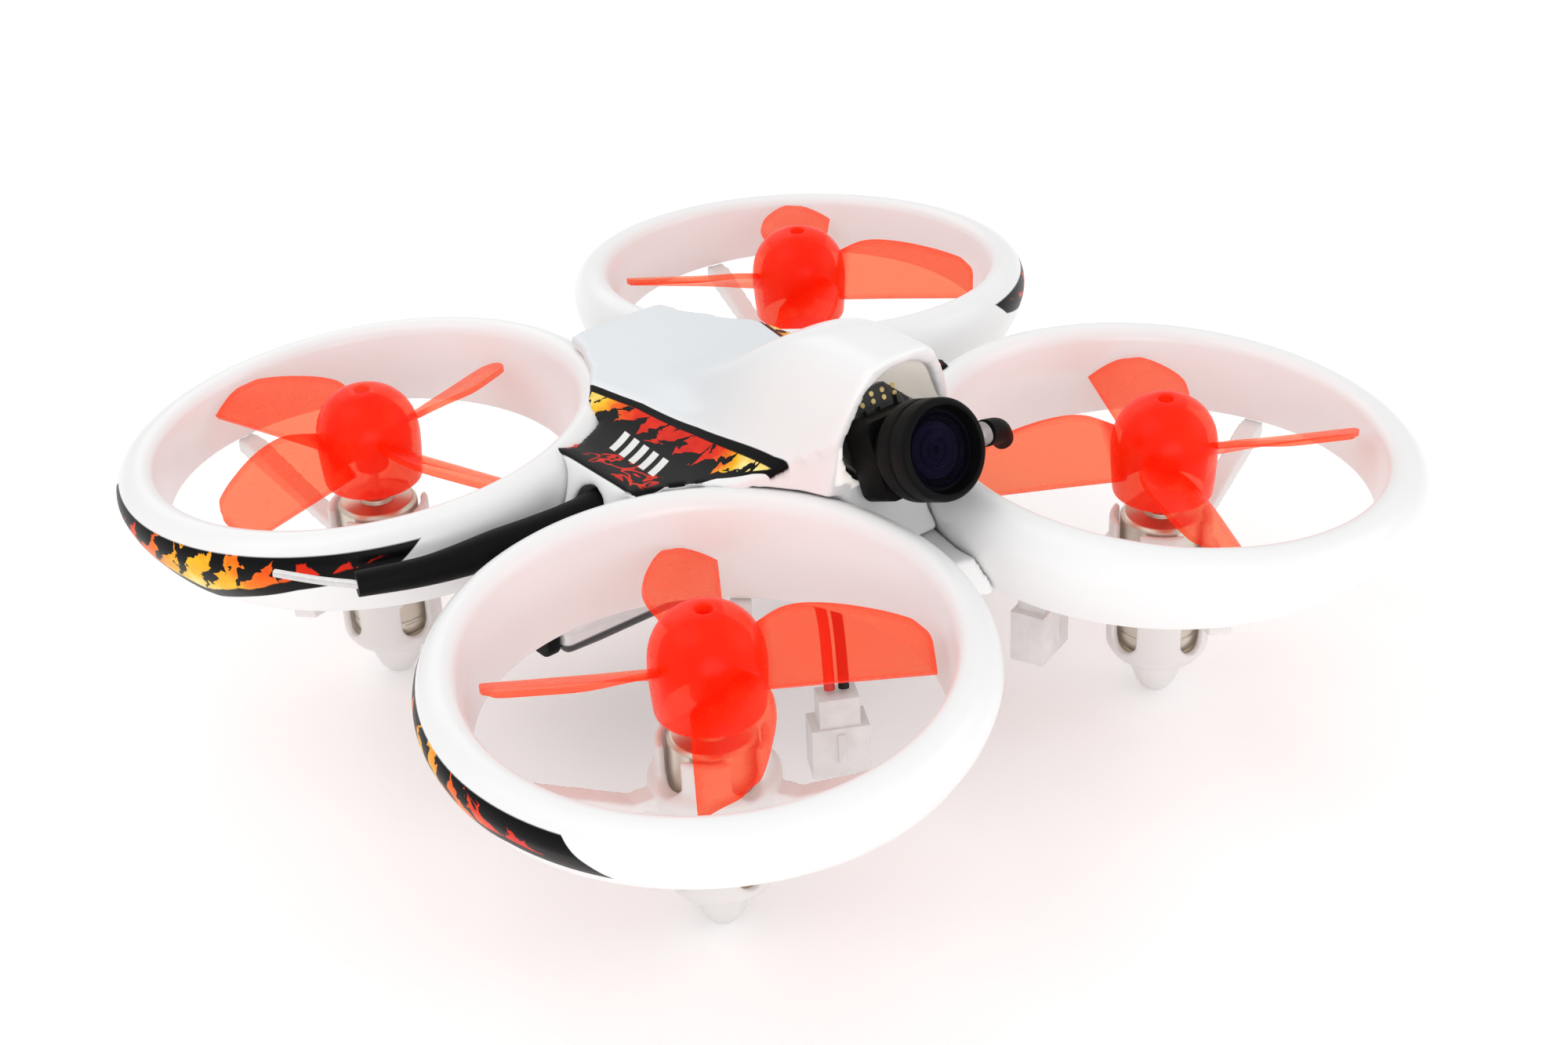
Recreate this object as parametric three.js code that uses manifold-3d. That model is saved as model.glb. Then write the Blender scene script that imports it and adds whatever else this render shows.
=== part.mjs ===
// Micro racing drone with four ducted propellers, built as an assembly of separate pieces.
// Millimetres, +Z up, nose towards -Y, +X to the drone's left.
// The origin is the centre of the footprint, on the plane that the four feet stand on.
import * as THREE from 'three';
import { mergeVertices } from 'three/addons/utils/BufferGeometryUtils.js';
import Module from 'manifold-3d';

const wasm = await Module();
wasm.setup();

// ---- Driving dimensions ------------------------------------------------------------------

const gap = 0.3;                    // clearance between pieces that seat on each other

// Layout
const armReach = 29;                // motor axis from the centre line, sideways and fore-aft
const motorBaseZ = 5.3;             // underside of the motor end cap
const footHeight = 4.4;             // cone under each motor sleeve

// Motors and propellers
const motorRadius = 4.2;
const motorLength = 14.8;            // can, without the end cap
const motorCapLength = 1.2;
const shaftRadius = 0.5;
const shaftReach = 7.5;             // shaft above the motor can
const propLift = 1.4;               // hub underside above the motor can
const hubRadius = 5.4;
const hubHeight = 11.5;
const hubWall = 0.9;
const bladeCount = 4;
const bladeReach = 20.2;            // propeller tip radius
const bladeChord = 8.4;             // widest place, near half the reach
const bladeThickness = 0.8;
const bladePitch = THREE.MathUtils.degToRad(28);
const bladeLift = 5.2;              // blade axis above the hub's underside

// Ducts
const tipClearance = 1.1;           // blade tip to the inside of the duct
const ductWall = 0.8;
const ductLip = 4.1;                // how far the rolled lip stands out from the inside wall
const ductHeight = 9.0;             // lower edge to the lip's crest, halfway round
const ductDrop = 0.8;               // lower edge below the hub's underside
const ductDroop = THREE.MathUtils.degToRad(5);

// Motor sleeves and spokes
const sleeveWall = 0.8;
const collarRadius = 6.2;
const collarHeight = 3.6;
const windowWidth = 3.2;
const spokeWidth = 2.2;
const spokeThickness = 1.2;

// Body shell
const canopyWall = 1.0;
const panelRise = 3.3;              // flat top panel above the lip's crest
const canopyDepth = 7.6;            // flat top panel down to the shell's lower edge
const hoodHeight = 12.5;            // camera hood above the flat top panel
const hoodHalfWidth = 7.2;
const panelHalfWidth = 5.6;         // flat top panel at its narrow front end
const sideReach = 20.6;             // shell end between the two ducts of one side
const noseReach = 23;
const tailReach = 26.5;

// Deck under the shell
const deckFloor = 1.2;
const deckWall = 1.0;
const deckHeight = 4.4;
const deckNoseReach = 30;
const deckSideReach = 25;

// Electronics
const boardThickness = 1.0;
const boardHalfDiagonal = 19.4;
const screwCircle = 15.9;           // board screw holes from the centre, along X and Y
const screwRadius = 0.7;
const screwHeadRadius = 1.3;

// Camera
const cameraTilt = THREE.MathUtils.degToRad(23);
const lensRadius = 4.9;
const lensLength = 4.6;
const cameraBodySize = 8;
const cameraBodyLength = 4.6;
const cameraBoardWidth = 9.4;
const cameraBoardHeight = 8.4;

// Battery
const batteryLength = 57;
const batteryWidth = 17.5;
const batteryHeight = 6.8;
const batteryOffsetY = 6.8;
const cradleWall = 1.0;
const cradleHalfWidth = 6;

// Leads
const leadRadius = 0.55;
const plugWidth = 5.9;
const plugDepth = 3.6;

// ---- Heights and places that follow from the driving dimensions ----------------------------

const motorTopZ = motorBaseZ + motorCapLength + motorLength;
const hubBaseZ = motorTopZ + propLift;
const hubTopZ = hubBaseZ + hubHeight;
const ductBore = bladeReach + tipClearance;
const ductBaseZ = hubBaseZ - ductDrop;
const ductCrestZ = ductBaseZ + ductHeight;
const panelZ = ductCrestZ + panelRise;
const canopyBaseZ = panelZ - canopyDepth;
const deckTopZ = canopyBaseZ - gap;
const deckBaseZ = deckTopZ - deckHeight;
const batteryTopZ = deckBaseZ - gap;
const batteryBaseZ = batteryTopZ - batteryHeight;

// Spokes are turned from the line to the body's middle; the rear ones keep clear of the battery.
const frontSpokes = [0, 118, -103];
const rearSpokes = [-25, -145, 95];

// spin is 1 for a propeller that turns counter-clockwise seen from above, and turn is its rest angle.
const corners = [
  { name: 'front_right', x: -1, y: -1, spin: 1, turn: 56, spokes: frontSpokes },
  { name: 'front_left', x: 1, y: -1, spin: -1, turn: 61, spokes: frontSpokes },
  { name: 'rear_right', x: -1, y: 1, spin: -1, turn: 18, spokes: rearSpokes },
  { name: 'rear_left', x: 1, y: 1, spin: 1, turn: 46, spokes: rearSpokes },
];

// ---- Materials ---------------------------------------------------------------------------

const finish = (color, roughness, metalness = 0, opacity = 1) => () =>
  new THREE.MeshStandardMaterial({ color, roughness, metalness, opacity, transparent: opacity < 1 });

const whiteGloss = finish(0xf4f4f2, 0.25);
const milkyWhite = finish(0xf1eeec, 0.4, 0, 0.85);
const redClear = finish(0xf23a1e, 0.3, 0, 0.8);
const blackMatte = finish(0x18181a, 0.5);
const blackGloss = finish(0x0c0c14, 0.08);
const steel = finish(0xc9c6bf, 0.3, 1);
const beige = finish(0xd8c9a8, 0.5);
const boardBlack = finish(0x1a1c1e, 0.55);
const decalBlack = finish(0x161616, 0.35);
const silverWrap = finish(0xc4c4c6, 0.35);
const connectorWhite = finish(0xeeece6, 0.45);
const redLead = finish(0xc81f14, 0.5);
const clearSleeve = finish(0xe4dcdc, 0.2, 0, 0.6);

// ---- Helpers -----------------------------------------------------------------------------

const drone = new THREE.Group();

// Adds one named piece to the drone, or to the group that carries it.
function addPiece(name, geometry, material, parent = drone) {
  const mesh = new THREE.Mesh(geometry, material());
  mesh.name = name;
  parent.add(mesh);
  return mesh;
}

// Merges shared vertices, drops collapsed triangles and turns the faces outwards.
function closed(geometry) {
  const bare = geometry.clone();
  for (const key of Object.keys(bare.attributes)) {
    if (key !== 'position') bare.deleteAttribute(key);
  }
  const merged = mergeVertices(bare, 1e-4);
  const at = merged.attributes.position;
  const corner = [new THREE.Vector3(), new THREE.Vector3(), new THREE.Vector3()];
  const kept = [];
  let volume = 0;
  for (let i = 0; i < merged.index.count; i += 3) {
    const [a, b, c] = [0, 1, 2].map((k) => merged.index.getX(i + k));
    if (a === b || b === c || c === a) continue;
    kept.push(a, b, c);
    [a, b, c].forEach((vertex, k) => corner[k].fromBufferAttribute(at, vertex));
    volume += corner[0].dot(corner[1].cross(corner[2]));
  }
  if (volume < 0) kept.reverse();
  merged.setIndex(kept);
  return merged;
}

function toManifold(geometry) {
  const source = closed(geometry);
  return new wasm.Manifold(new wasm.Mesh({
    numProp: 3,
    vertProperties: Float32Array.from(source.attributes.position.array),
    triVerts: Uint32Array.from(source.index.array),
  }));
}

function toGeometry(manifold) {
  const mesh = manifold.getMesh();
  const geometry = new THREE.BufferGeometry();
  geometry.setAttribute('position', new THREE.BufferAttribute(mesh.vertProperties.slice(), 3));
  geometry.setIndex(new THREE.BufferAttribute(mesh.triVerts.slice(), 1));
  return geometry;
}

// Joins the first list and cuts the second list away from it.
function combine(joined, cut = []) {
  let body = toManifold(joined[0]);
  for (const geometry of joined.slice(1)) body = body.add(toManifold(geometry));
  for (const geometry of cut) body = body.subtract(toManifold(geometry));
  return toGeometry(body);
}

// Revolves [radius, height] pairs about +Z.
function lathe(pairs, segments) {
  const profile = pairs.map(([radius, height]) => new THREE.Vector2(radius, height));
  return closed(new THREE.LatheGeometry(profile, segments).rotateX(Math.PI / 2));
}

function cylinder(radius, bottom, top, segments, topRadius = radius) {
  return new THREE.CylinderGeometry(topRadius, radius, top - bottom, segments)
    .rotateX(Math.PI / 2).translate(0, 0, (bottom + top) / 2);
}

function box(width, depth, height, x, y, z) {
  return new THREE.BoxGeometry(width, depth, height).translate(x, y, z);
}

function extrude(shape, bottom, top, curveSegments = 12) {
  return new THREE.ExtrudeGeometry(shape, { depth: top - bottom, bevelEnabled: false, curveSegments })
    .translate(0, 0, bottom);
}

// A rounded slot outline, centred on the origin, longer along Y.
function slotShape(width, length) {
  const radius = width / 2;
  const reach = length / 2 - radius;
  const shape = new THREE.Shape();
  shape.absarc(0, reach, radius, 0, Math.PI, false);
  shape.absarc(0, -reach, radius, Math.PI, 2 * Math.PI, false);
  shape.closePath();
  return shape;
}

function roundedRectangle(width, height, radius) {
  const x = width / 2 - radius;
  const y = height / 2 - radius;
  const shape = new THREE.Shape();
  shape.absarc(x, y, radius, 0, Math.PI / 2, false);
  shape.absarc(-x, y, radius, Math.PI / 2, Math.PI, false);
  shape.absarc(-x, -y, radius, Math.PI, 1.5 * Math.PI, false);
  shape.absarc(x, -y, radius, 1.5 * Math.PI, 2 * Math.PI, false);
  shape.closePath();
  return shape;
}

// Skins a list of loops that have the same number of points, and caps both ends.
function loft(loops) {
  const count = loops[0].length;
  const points = loops.flat();
  const faces = [];
  for (let k = 0; k + 1 < loops.length; k++) {
    for (let i = 0; i < count; i++) {
      const j = (i + 1) % count;
      const [a, b] = [k * count + i, k * count + j];
      faces.push(a, b, b + count, a, b + count, a + count);
    }
  }
  const last = (loops.length - 1) * count;
  for (let i = 1; i + 1 < count; i++) {
    faces.push(0, i + 1, i, last, last + i, last + i + 1);
  }
  const geometry = new THREE.BufferGeometry().setFromPoints(points);
  geometry.setIndex(faces);
  return closed(geometry);
}

// A round tube along a smooth curve through the given points.
function tube(points, radius, steps, sides = 6) {
  const path = new THREE.CatmullRomCurve3(points.map((p) => new THREE.Vector3(...p)), false, 'centripetal');
  const section = new THREE.Shape();
  for (let i = 0; i <= sides; i++) {
    const angle = (2 * Math.PI * i) / sides;
    const [x, y] = [radius * Math.cos(angle), radius * Math.sin(angle)];
    if (i === 0) section.moveTo(x, y);
    else section.lineTo(x, y);
  }
  return closed(new THREE.ExtrudeGeometry(section, { steps, bevelEnabled: false, extrudePath: path }));
}

// ---- Ducts -------------------------------------------------------------------------------

const ductSegments = 30;

// Each rim plane droops outwards while the lower edge stays level, so heights are sheared:
// fully at the lip and not at all at the lower edge.
function droop(geometry, corner) {
  const at = geometry.attributes.position;
  for (let i = 0; i < at.count; i++) {
    const outward = (at.getX(i) * corner.x + at.getY(i) * corner.y) / Math.SQRT2;
    const share = THREE.MathUtils.clamp((at.getZ(i) - ductBaseZ) / ductHeight, 0, 1);
    at.setZ(i, at.getZ(i) - outward * Math.tan(ductDroop) * share);
  }
  return geometry;
}

const ductOuter = ductBore + 0.8 + ductLip;         // widest radius of the rolled lip
const lipInner = ductBore + 0.8;                    // inside wall flares a little towards the lip
const skirtFoot = ductBore + 2 * ductWall + 0.8;    // skirt's lower edge, clear of the inside wall

// Outside of the lip, from the inside edge over the crest and down the skirt, moved out by grow.
function lipLine(grow) {
  const crest = ductCrestZ + grow;
  return [
    [lipInner + 0.12 * ductLip, crest - 0.35],
    [lipInner + 0.36 * ductLip, crest],
    [lipInner + 0.72 * ductLip + 0.6 * grow, crest - 0.6],
    [lipInner + 0.95 * ductLip + grow, crest - 2.1 - 0.3 * grow],
    [ductOuter + grow, ductCrestZ - 3.5],
    [ductOuter - 0.7 + grow, ductCrestZ - 5.9],
    [skirtFoot + grow, ductBaseZ],
  ];
}

function ductGeometry(corner) {
  const outside = lipLine(0);
  const inside = lipLine(-ductWall).filter((pair, i) => i > 1 && i !== 4).reverse();
  const wallInside = [[ductBore, ductBaseZ], [lipInner, ductCrestZ - 1]];
  const wallOutside = [[lipInner + ductWall, ductCrestZ - 2.2], [ductBore + ductWall, ductBaseZ]];
  const profile = [...wallInside, ...outside, ...inside, ...wallOutside, wallInside[0]];
  return droop(lathe(profile, ductSegments), corner);
}

// The space that a duct and its bore need, grown by a clearance, for cutting the shell and deck.
function ductRoom(corner, clearance) {
  const outside = lipLine(clearance).slice(1).reverse();
  const bottom = ductBaseZ - 4;
  const top = panelZ + hoodHeight + 10;
  const crestRadius = outside[outside.length - 1][0];
  const room = lathe([
    [0, bottom], [outside[0][0], bottom], ...outside, [crestRadius + clearance, top], [0, top],
  ], ductSegments);
  return droop(room, corner).translate(corner.x * armReach, corner.y * armReach, 0);
}

// ---- Propellers --------------------------------------------------------------------------

const hubSegments = 12;

function hubGeometry() {
  const bore = shaftRadius + gap;
  const boss = bore + hubWall;
  const inner = hubRadius - hubWall;
  return lathe([
    [bore, hubTopZ], [0.33 * hubRadius, hubTopZ - 0.12], [0.6 * hubRadius, hubTopZ - 0.75],
    [0.82 * hubRadius, hubTopZ - 1.95], [0.95 * hubRadius, hubTopZ - 3.4], [hubRadius, hubTopZ - 5.2],
    [0.94 * hubRadius, hubBaseZ], [0.94 * hubRadius - hubWall, hubBaseZ],
    [inner, hubTopZ - 5.3], [0.9 * inner, hubTopZ - 3.4], [0.6 * inner, hubTopZ - 1.9], [boss, hubTopZ - 1.4],
    [boss, hubBaseZ + 1.2], [bore, hubBaseZ + 1.2], [bore, hubTopZ],
  ], hubSegments);
}

// One twisted blade along +X: a straight trailing edge, a leading edge that bulges, a clipped tip.
// Shares are of the reach, of the chord on each side of the blade's axis, and of the pitch.
function bladeGeometry(spin) {
  const trail = -0.28;
  const stations = [
    { at: 0.2, lead: 0.44, twist: 1.3 },
    { at: 0.36, lead: 0.66, twist: 1.15 },
    { at: 0.54, lead: 0.72, twist: 1.0 },
    { at: 0.76, lead: 0.62, twist: 0.95 },
    { at: 0.92, lead: 0.44, twist: 0.9 },
    { at: 1.0, lead: 0.22, twist: 0.9 },
  ];
  return loft(stations.map(({ at, lead, twist }) => {
    const half = (bladeChord * (lead - trail)) / 2;
    const middle = (bladeChord * (lead + trail)) / 2;
    const angle = bladePitch * twist;
    const thick = bladeThickness * (1.1 - 0.35 * at);
    const loop = [[1, 0], [0.3, 0.5], [-0.6, 0.42], [-1, 0], [-0.5, -0.42], [0.5, -0.42]];
    return loop.map(([along, across]) => {
      const u = middle + along * half;
      const v = across * thick + 0.08 * half * (1 - along * along);
      const forward = u * Math.cos(angle) - v * Math.sin(angle);
      const rise = u * Math.sin(angle) + v * Math.cos(angle);
      return new THREE.Vector3(at * bladeReach, spin * forward, hubBaseZ + bladeLift + rise);
    });
  }));
}

function propGeometry(corner) {
  const blades = [];
  for (let i = 0; i < bladeCount; i++) {
    const blade = bladeGeometry(corner.spin);
    blades.push(blade.rotateZ((2 * Math.PI * i) / bladeCount + THREE.MathUtils.degToRad(corner.turn)));
  }
  const inside = cylinder(hubRadius - hubWall - 0.2, hubBaseZ - 1, hubTopZ - 5.3, hubSegments);
  const cleared = toManifold(combine(blades)).subtract(toManifold(inside));
  return toGeometry(toManifold(hubGeometry()).add(cleared));
}

// ---- Motor sleeves -----------------------------------------------------------------------

const roundSegments = 16;            // facets round the motors and their sleeves
const sleeveBore = motorRadius + gap;
const sleeveRadius = sleeveBore + sleeveWall;
const sleeveFloorZ = motorBaseZ - gap - 0.6;
const collarTopZ = motorTopZ - 3.9;
const collarBaseZ = collarTopZ - collarHeight;

// Sleeve with a collar, and the cone that the drone stands on.
function sleeveBody() {
  return lathe([
    [0, 0], [1.2, 0], [2.0, 1.0], [3.3, footHeight], [sleeveRadius - 0.9, sleeveFloorZ + 0.1],
    [sleeveRadius, sleeveFloorZ + 1.4], [sleeveRadius, collarBaseZ], [collarRadius, collarBaseZ + 0.8],
    [collarRadius, collarTopZ - 0.5], [collarRadius - 0.6, collarTopZ], [sleeveRadius, collarTopZ],
    [sleeveRadius, motorTopZ - 0.4], [0, motorTopZ - 0.4],
  ], roundSegments);
}

// A flat arm along +X that rises from the collar to the duct's lower edge.
function spoke() {
  const wallFoot = ductBaseZ - gap;
  const rootZ = collarBaseZ + 1.0;
  const side = new THREE.Shape([
    [sleeveRadius - 0.4, rootZ], [collarRadius + 2, rootZ + 0.2],
    [ductBore + ductWall, wallFoot - spokeThickness - 0.3], [ductBore + ductWall, wallFoot],
    [ductBore - 1.2, wallFoot], [collarRadius + 2, rootZ + 0.3 + spokeThickness],
    [sleeveRadius - 0.4, rootZ + 0.4 + spokeThickness],
  ].map(([x, z]) => new THREE.Vector2(x, z)));
  return extrude(side, -spokeWidth / 2, spokeWidth / 2).rotateX(Math.PI / 2);
}

// A round-ended window through the sleeve wall on the +X side.
function sleeveWindow(length, middleZ) {
  const outline = slotShape(windowWidth, length);
  return extrude(outline, motorRadius - 1.5, collarRadius + 1, 2).rotateY(Math.PI / 2)
    .rotateX(Math.PI / 2).translate(0, 0, middleZ);
}

// Four windows above the collar and four below it face along X and Y.
function sleeveFor(corner) {
  const inward = Math.atan2(-corner.y, -corner.x);
  const mirrored = corner.x * corner.y;
  const spokes = corner.spokes.map((turn) =>
    spoke().rotateZ(inward + mirrored * THREE.MathUtils.degToRad(turn)));
  const bore = cylinder(sleeveBore, sleeveFloorZ + 0.6, motorTopZ + 1, roundSegments);
  const windows = [];
  for (let i = 0; i < 4; i++) {
    windows.push(sleeveWindow(9, motorTopZ).rotateZ((Math.PI * i) / 2));
    windows.push(sleeveWindow(5, sleeveFloorZ + 4.4).rotateZ((Math.PI * i) / 2));
  }
  return combine([sleeveBody(), ...spokes], [bore, ...windows]);
}

// ---- Motors ------------------------------------------------------------------------------

function motorCanGeometry() {
  const bottom = motorBaseZ + motorCapLength;
  const bearing = shaftRadius + gap;
  return lathe([
    [bearing, bottom], [motorRadius, bottom], [motorRadius, motorTopZ - 0.4], [motorRadius - 0.4, motorTopZ],
    [bearing + 1.0, motorTopZ], [bearing + 1.0, motorTopZ + 0.5], [bearing, motorTopZ + 0.5], [bearing, bottom],
  ], roundSegments);
}

function motorCapGeometry() {
  return lathe([
    [0, motorBaseZ], [motorRadius - 0.5, motorBaseZ], [motorRadius - 0.1, motorBaseZ + 0.4],
    [motorRadius - 0.1, motorBaseZ + motorCapLength - gap], [0, motorBaseZ + motorCapLength - gap],
  ], roundSegments);
}

// ---- Body shell --------------------------------------------------------------------------

const hoodFrontY = -16;             // the hood's crest starts to fall behind here
const hoodEndY = 12;
const cornerY = 14.6;               // widest place of the flat top panel
const chinY = -19.8;                // lower edge of the camera opening
const chinZ = panelZ - 1.8;
const openingLean = 0.2;            // the opening plane leans forwards, per mm of height
const openingCentreZ = panelZ + 4.7;

// Half-width of the flat top panel, from its narrow front to the wide corners and back in.
function panelEdge(y) {
  if (y > cornerY) return THREE.MathUtils.mapLinear(y, cornerY, tailReach, panelHalfWidth + 5.2, 4);
  return THREE.MathUtils.mapLinear(y, -cornerY, cornerY, panelHalfWidth, panelHalfWidth + 5.2);
}

// Top surface: a flat panel, scooped sides and a hood that swells up towards the nose.
function shellHeight(x, y) {
  const swell = THREE.MathUtils.smoothstep(hoodEndY - y, 0, hoodEndY - hoodFrontY);
  const halfWidth = hoodHalfWidth * (0.7 + 0.3 * swell);
  const bell = 1 / (1 + Math.pow(Math.abs(x) / halfWidth, 4.5));
  const edge = panelEdge(y);
  const out = THREE.MathUtils.clamp((Math.abs(x) - edge) / (sideReach - edge), 0, 1.2);
  const scoop = -0.9 * out - 1.3 * Math.sin(Math.PI * Math.min(out, 1));
  return panelZ + hoodHeight * swell * bell + scoop;
}

function shellNormal(x, y) {
  const step = 0.05;
  const dx = (shellHeight(x + step, y) - shellHeight(x - step, y)) / (2 * step);
  const dy = (shellHeight(x, y + step) - shellHeight(x, y - step)) / (2 * step);
  return new THREE.Vector3(-dx, -dy, 1).normalize();
}

// A solid block under the top surface, with that surface moved inwards by inset.
function shellBlock(inset, bottom) {
  const columns = 18;
  const rows = 18;
  const [reachX, frontY, backY] = [sideReach + 5, -noseReach - 4, tailReach + 4];
  const points = [];
  for (let j = 0; j <= rows; j++) {
    const y = THREE.MathUtils.lerp(frontY, backY, j / rows);
    for (let i = 0; i <= columns; i++) {
      const u = (2 * i) / columns - 1;
      const x = reachX * u * (0.5 + 0.5 * Math.abs(u));
      points.push(new THREE.Vector3(x, y, shellHeight(x, y)).addScaledVector(shellNormal(x, y), -inset));
    }
  }
  const faces = [];
  const at = (i, j) => j * (columns + 1) + i;
  for (let j = 0; j < rows; j++) {
    for (let i = 0; i < columns; i++) {
      faces.push(at(i, j), at(i + 1, j), at(i + 1, j + 1), at(i, j), at(i + 1, j + 1), at(i, j + 1));
    }
  }
  const rim = [];
  for (let i = 0; i < columns; i++) rim.push(at(i, 0));
  for (let j = 0; j < rows; j++) rim.push(at(columns, j));
  for (let i = columns; i > 0; i--) rim.push(at(i, rows));
  for (let j = rows; j > 0; j--) rim.push(at(0, j));
  const foot = points.length;
  rim.forEach((vertex) => points.push(points[vertex].clone().setZ(bottom)));
  const centre = points.push(new THREE.Vector3(0, 0, bottom)) - 1;
  rim.forEach((vertex, k) => {
    const next = (k + 1) % rim.length;
    faces.push(vertex, foot + k, foot + next, vertex, foot + next, rim[next], centre, foot + next, foot + k);
  });
  const geometry = new THREE.BufferGeometry().setFromPoints(points);
  geometry.setIndex(faces);
  return closed(geometry);
}

// Side view of the shell: apron under the camera, leaning opening plane, sloping tail.
function lengthwiseTrim(inset, bottom) {
  const top = panelZ + hoodHeight + 4;
  const view = new THREE.Shape([
    [-noseReach + inset, bottom], [-noseReach + inset, canopyBaseZ + 0.6], [chinY + inset, chinZ],
    [chinY - (top - chinZ) * openingLean + inset, top], [tailReach - 2 - inset, top],
    [tailReach - 2 - inset, panelZ - 1], [tailReach - inset, canopyBaseZ], [tailReach - inset, bottom],
  ].map(([y, z]) => new THREE.Vector2(y, z)));
  const alongX = new THREE.Matrix4().makeBasis(
    new THREE.Vector3(0, 1, 0), new THREE.Vector3(0, 0, 1), new THREE.Vector3(1, 0, 0));
  return extrude(view, -sideReach - 6, sideReach + 6).applyMatrix4(alongX);
}

// Front view of the shell: the two side ends slope down to the deck.
function sidewaysTrim(inset, bottom) {
  const top = panelZ + hoodHeight + 4;
  const [high, low] = [sideReach - inset, sideReach + 2.5 - inset];
  const view = new THREE.Shape([
    [-low, bottom], [low, bottom], [low, canopyBaseZ], [high, panelZ - 1.8], [high, top], [-high, top],
    [-high, panelZ - 1.8], [-low, canopyBaseZ],
  ].map(([x, z]) => new THREE.Vector2(x, z)));
  const alongY = new THREE.Matrix4().makeBasis(
    new THREE.Vector3(1, 0, 0), new THREE.Vector3(0, 0, 1), new THREE.Vector3(0, -1, 0));
  return extrude(view, -tailReach - 6, tailReach + 6).applyMatrix4(alongY);
}

// The oval hole in the hood's leaning front.
function cameraOpening() {
  return cylinder(1, -4, 4, 32).scale(hoodHalfWidth - 1.2, hoodHeight / 2, 1)
    .rotateX(Math.PI / 2 - Math.atan(openingLean))
    .translate(0, chinY - (openingCentreZ - chinZ) * openingLean, openingCentreZ);
}

function shellSolid(inset, bottom) {
  const clearance = gap + inset;
  let body = toManifold(shellBlock(inset, bottom))
    .intersect(toManifold(lengthwiseTrim(inset, bottom)))
    .intersect(toManifold(sidewaysTrim(inset, bottom)));
  for (const corner of corners) body = body.subtract(toManifold(ductRoom(corner, clearance)));
  return body;
}

function canopyGeometry() {
  return toGeometry(shellSolid(0, canopyBaseZ)
    .subtract(shellSolid(canopyWall, canopyBaseZ - 1))
    .subtract(toManifold(cameraOpening()))
    .subtract(toManifold(antennaSleeve(gap))));
}

// ---- Antennas ----------------------------------------------------------------------------

const whipZ = ductCrestZ - 1.8;
const whipRoot = [-sideReach + 2.2, -0.4, whipZ];
const whipBend = [-armReach - 3, 0.2, whipZ - 0.3];
const whipEnd = [-armReach - 16.5, 3.5, whipZ - 0.2];
const whipTip = [-armReach - 21.3, 10.5, whipZ - 0.1];

// Round sections of changing radius along a smooth curve.
function taper(points, radii, steps, sides) {
  const path = new THREE.CatmullRomCurve3(points.map((p) => new THREE.Vector3(...p)), false, 'centripetal');
  const loops = [];
  for (let k = 0; k <= steps; k++) {
    const share = k / steps;
    const along = path.getTangent(share);
    const across = new THREE.Vector3(-along.y, along.x, 0).normalize();
    const up = new THREE.Vector3().crossVectors(along, across);
    const slot = share * (radii.length - 1);
    const low = Math.min(Math.floor(slot), radii.length - 2);
    const radius = THREE.MathUtils.lerp(radii[low], radii[low + 1], slot - low);
    const centre = path.getPoint(share);
    const loop = [];
    for (let i = 0; i < sides; i++) {
      const angle = (2 * Math.PI * i) / sides;
      loop.push(centre.clone().addScaledVector(across, radius * Math.cos(angle))
        .addScaledVector(up, radius * Math.sin(angle)));
    }
    loops.push(loop);
  }
  return loft(loops);
}

function antennaSleeve(grow) {
  const radii = [2.0, 2.0, 1.9, 1.7, 1.35, 1.25].map((radius) => radius + grow);
  return taper([whipRoot, whipBend, whipEnd], radii, 10, 12);
}

function antennaTip() {
  const direction = new THREE.Vector3(...whipTip).sub(new THREE.Vector3(...whipEnd));
  const start = new THREE.Vector3(...whipEnd).addScaledVector(direction, (gap + 0.5) / direction.length());
  return tube([start.toArray(), whipTip], 0.4, 3, 8);
}

// The camera's own aerial: a thin coax into a clear sleeve, then a black sleeve that bends down.
function aerialJoint() {
  const points = [[4.9, -19.3, 37.2], [4.95, -21.4, 37.0], [6.3, -23.0, 36.9], [9.2, -22.9, 37.0]];
  return taper(points, [0.5, 0.5, 0.6, 1.2, 1.2, 1.2], 9, 10);
}

function aerialSleeve() {
  const points = [[9.9, -22.85, 37.0], [11.4, -22.6, 36.6], [12.6, -22.2, 35.2]];
  return taper(points, [1.3, 1.3, 1.25, 1.1], 4, 10);
}

// ---- Deck --------------------------------------------------------------------------------

const floorTopZ = deckBaseZ + deckFloor;
const boardZ = floorTopZ + 1.5;                     // underside of the flight controller
const screwSpots = [[0, -screwCircle], [0, screwCircle], [-screwCircle, 0], [screwCircle, 0]];
const leadHoles = [[-4.8, -13.6], [4.8, -14.2]];
const usbSpot = [5.2, -9.5];
const buttonSpot = [-6.5, -8.5];

function deckBlock(inset, bottom, top) {
  const [halfX, halfY] = inset > 0 ? [sideReach - inset, noseReach - inset] : [deckSideReach, deckNoseReach];
  let block = toManifold(box(2 * halfX, 2 * halfY, top - bottom, 0, 0, (top + bottom) / 2));
  for (const corner of corners) block = block.subtract(toManifold(ductRoom(corner, gap + inset)));
  return block;
}

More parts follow.
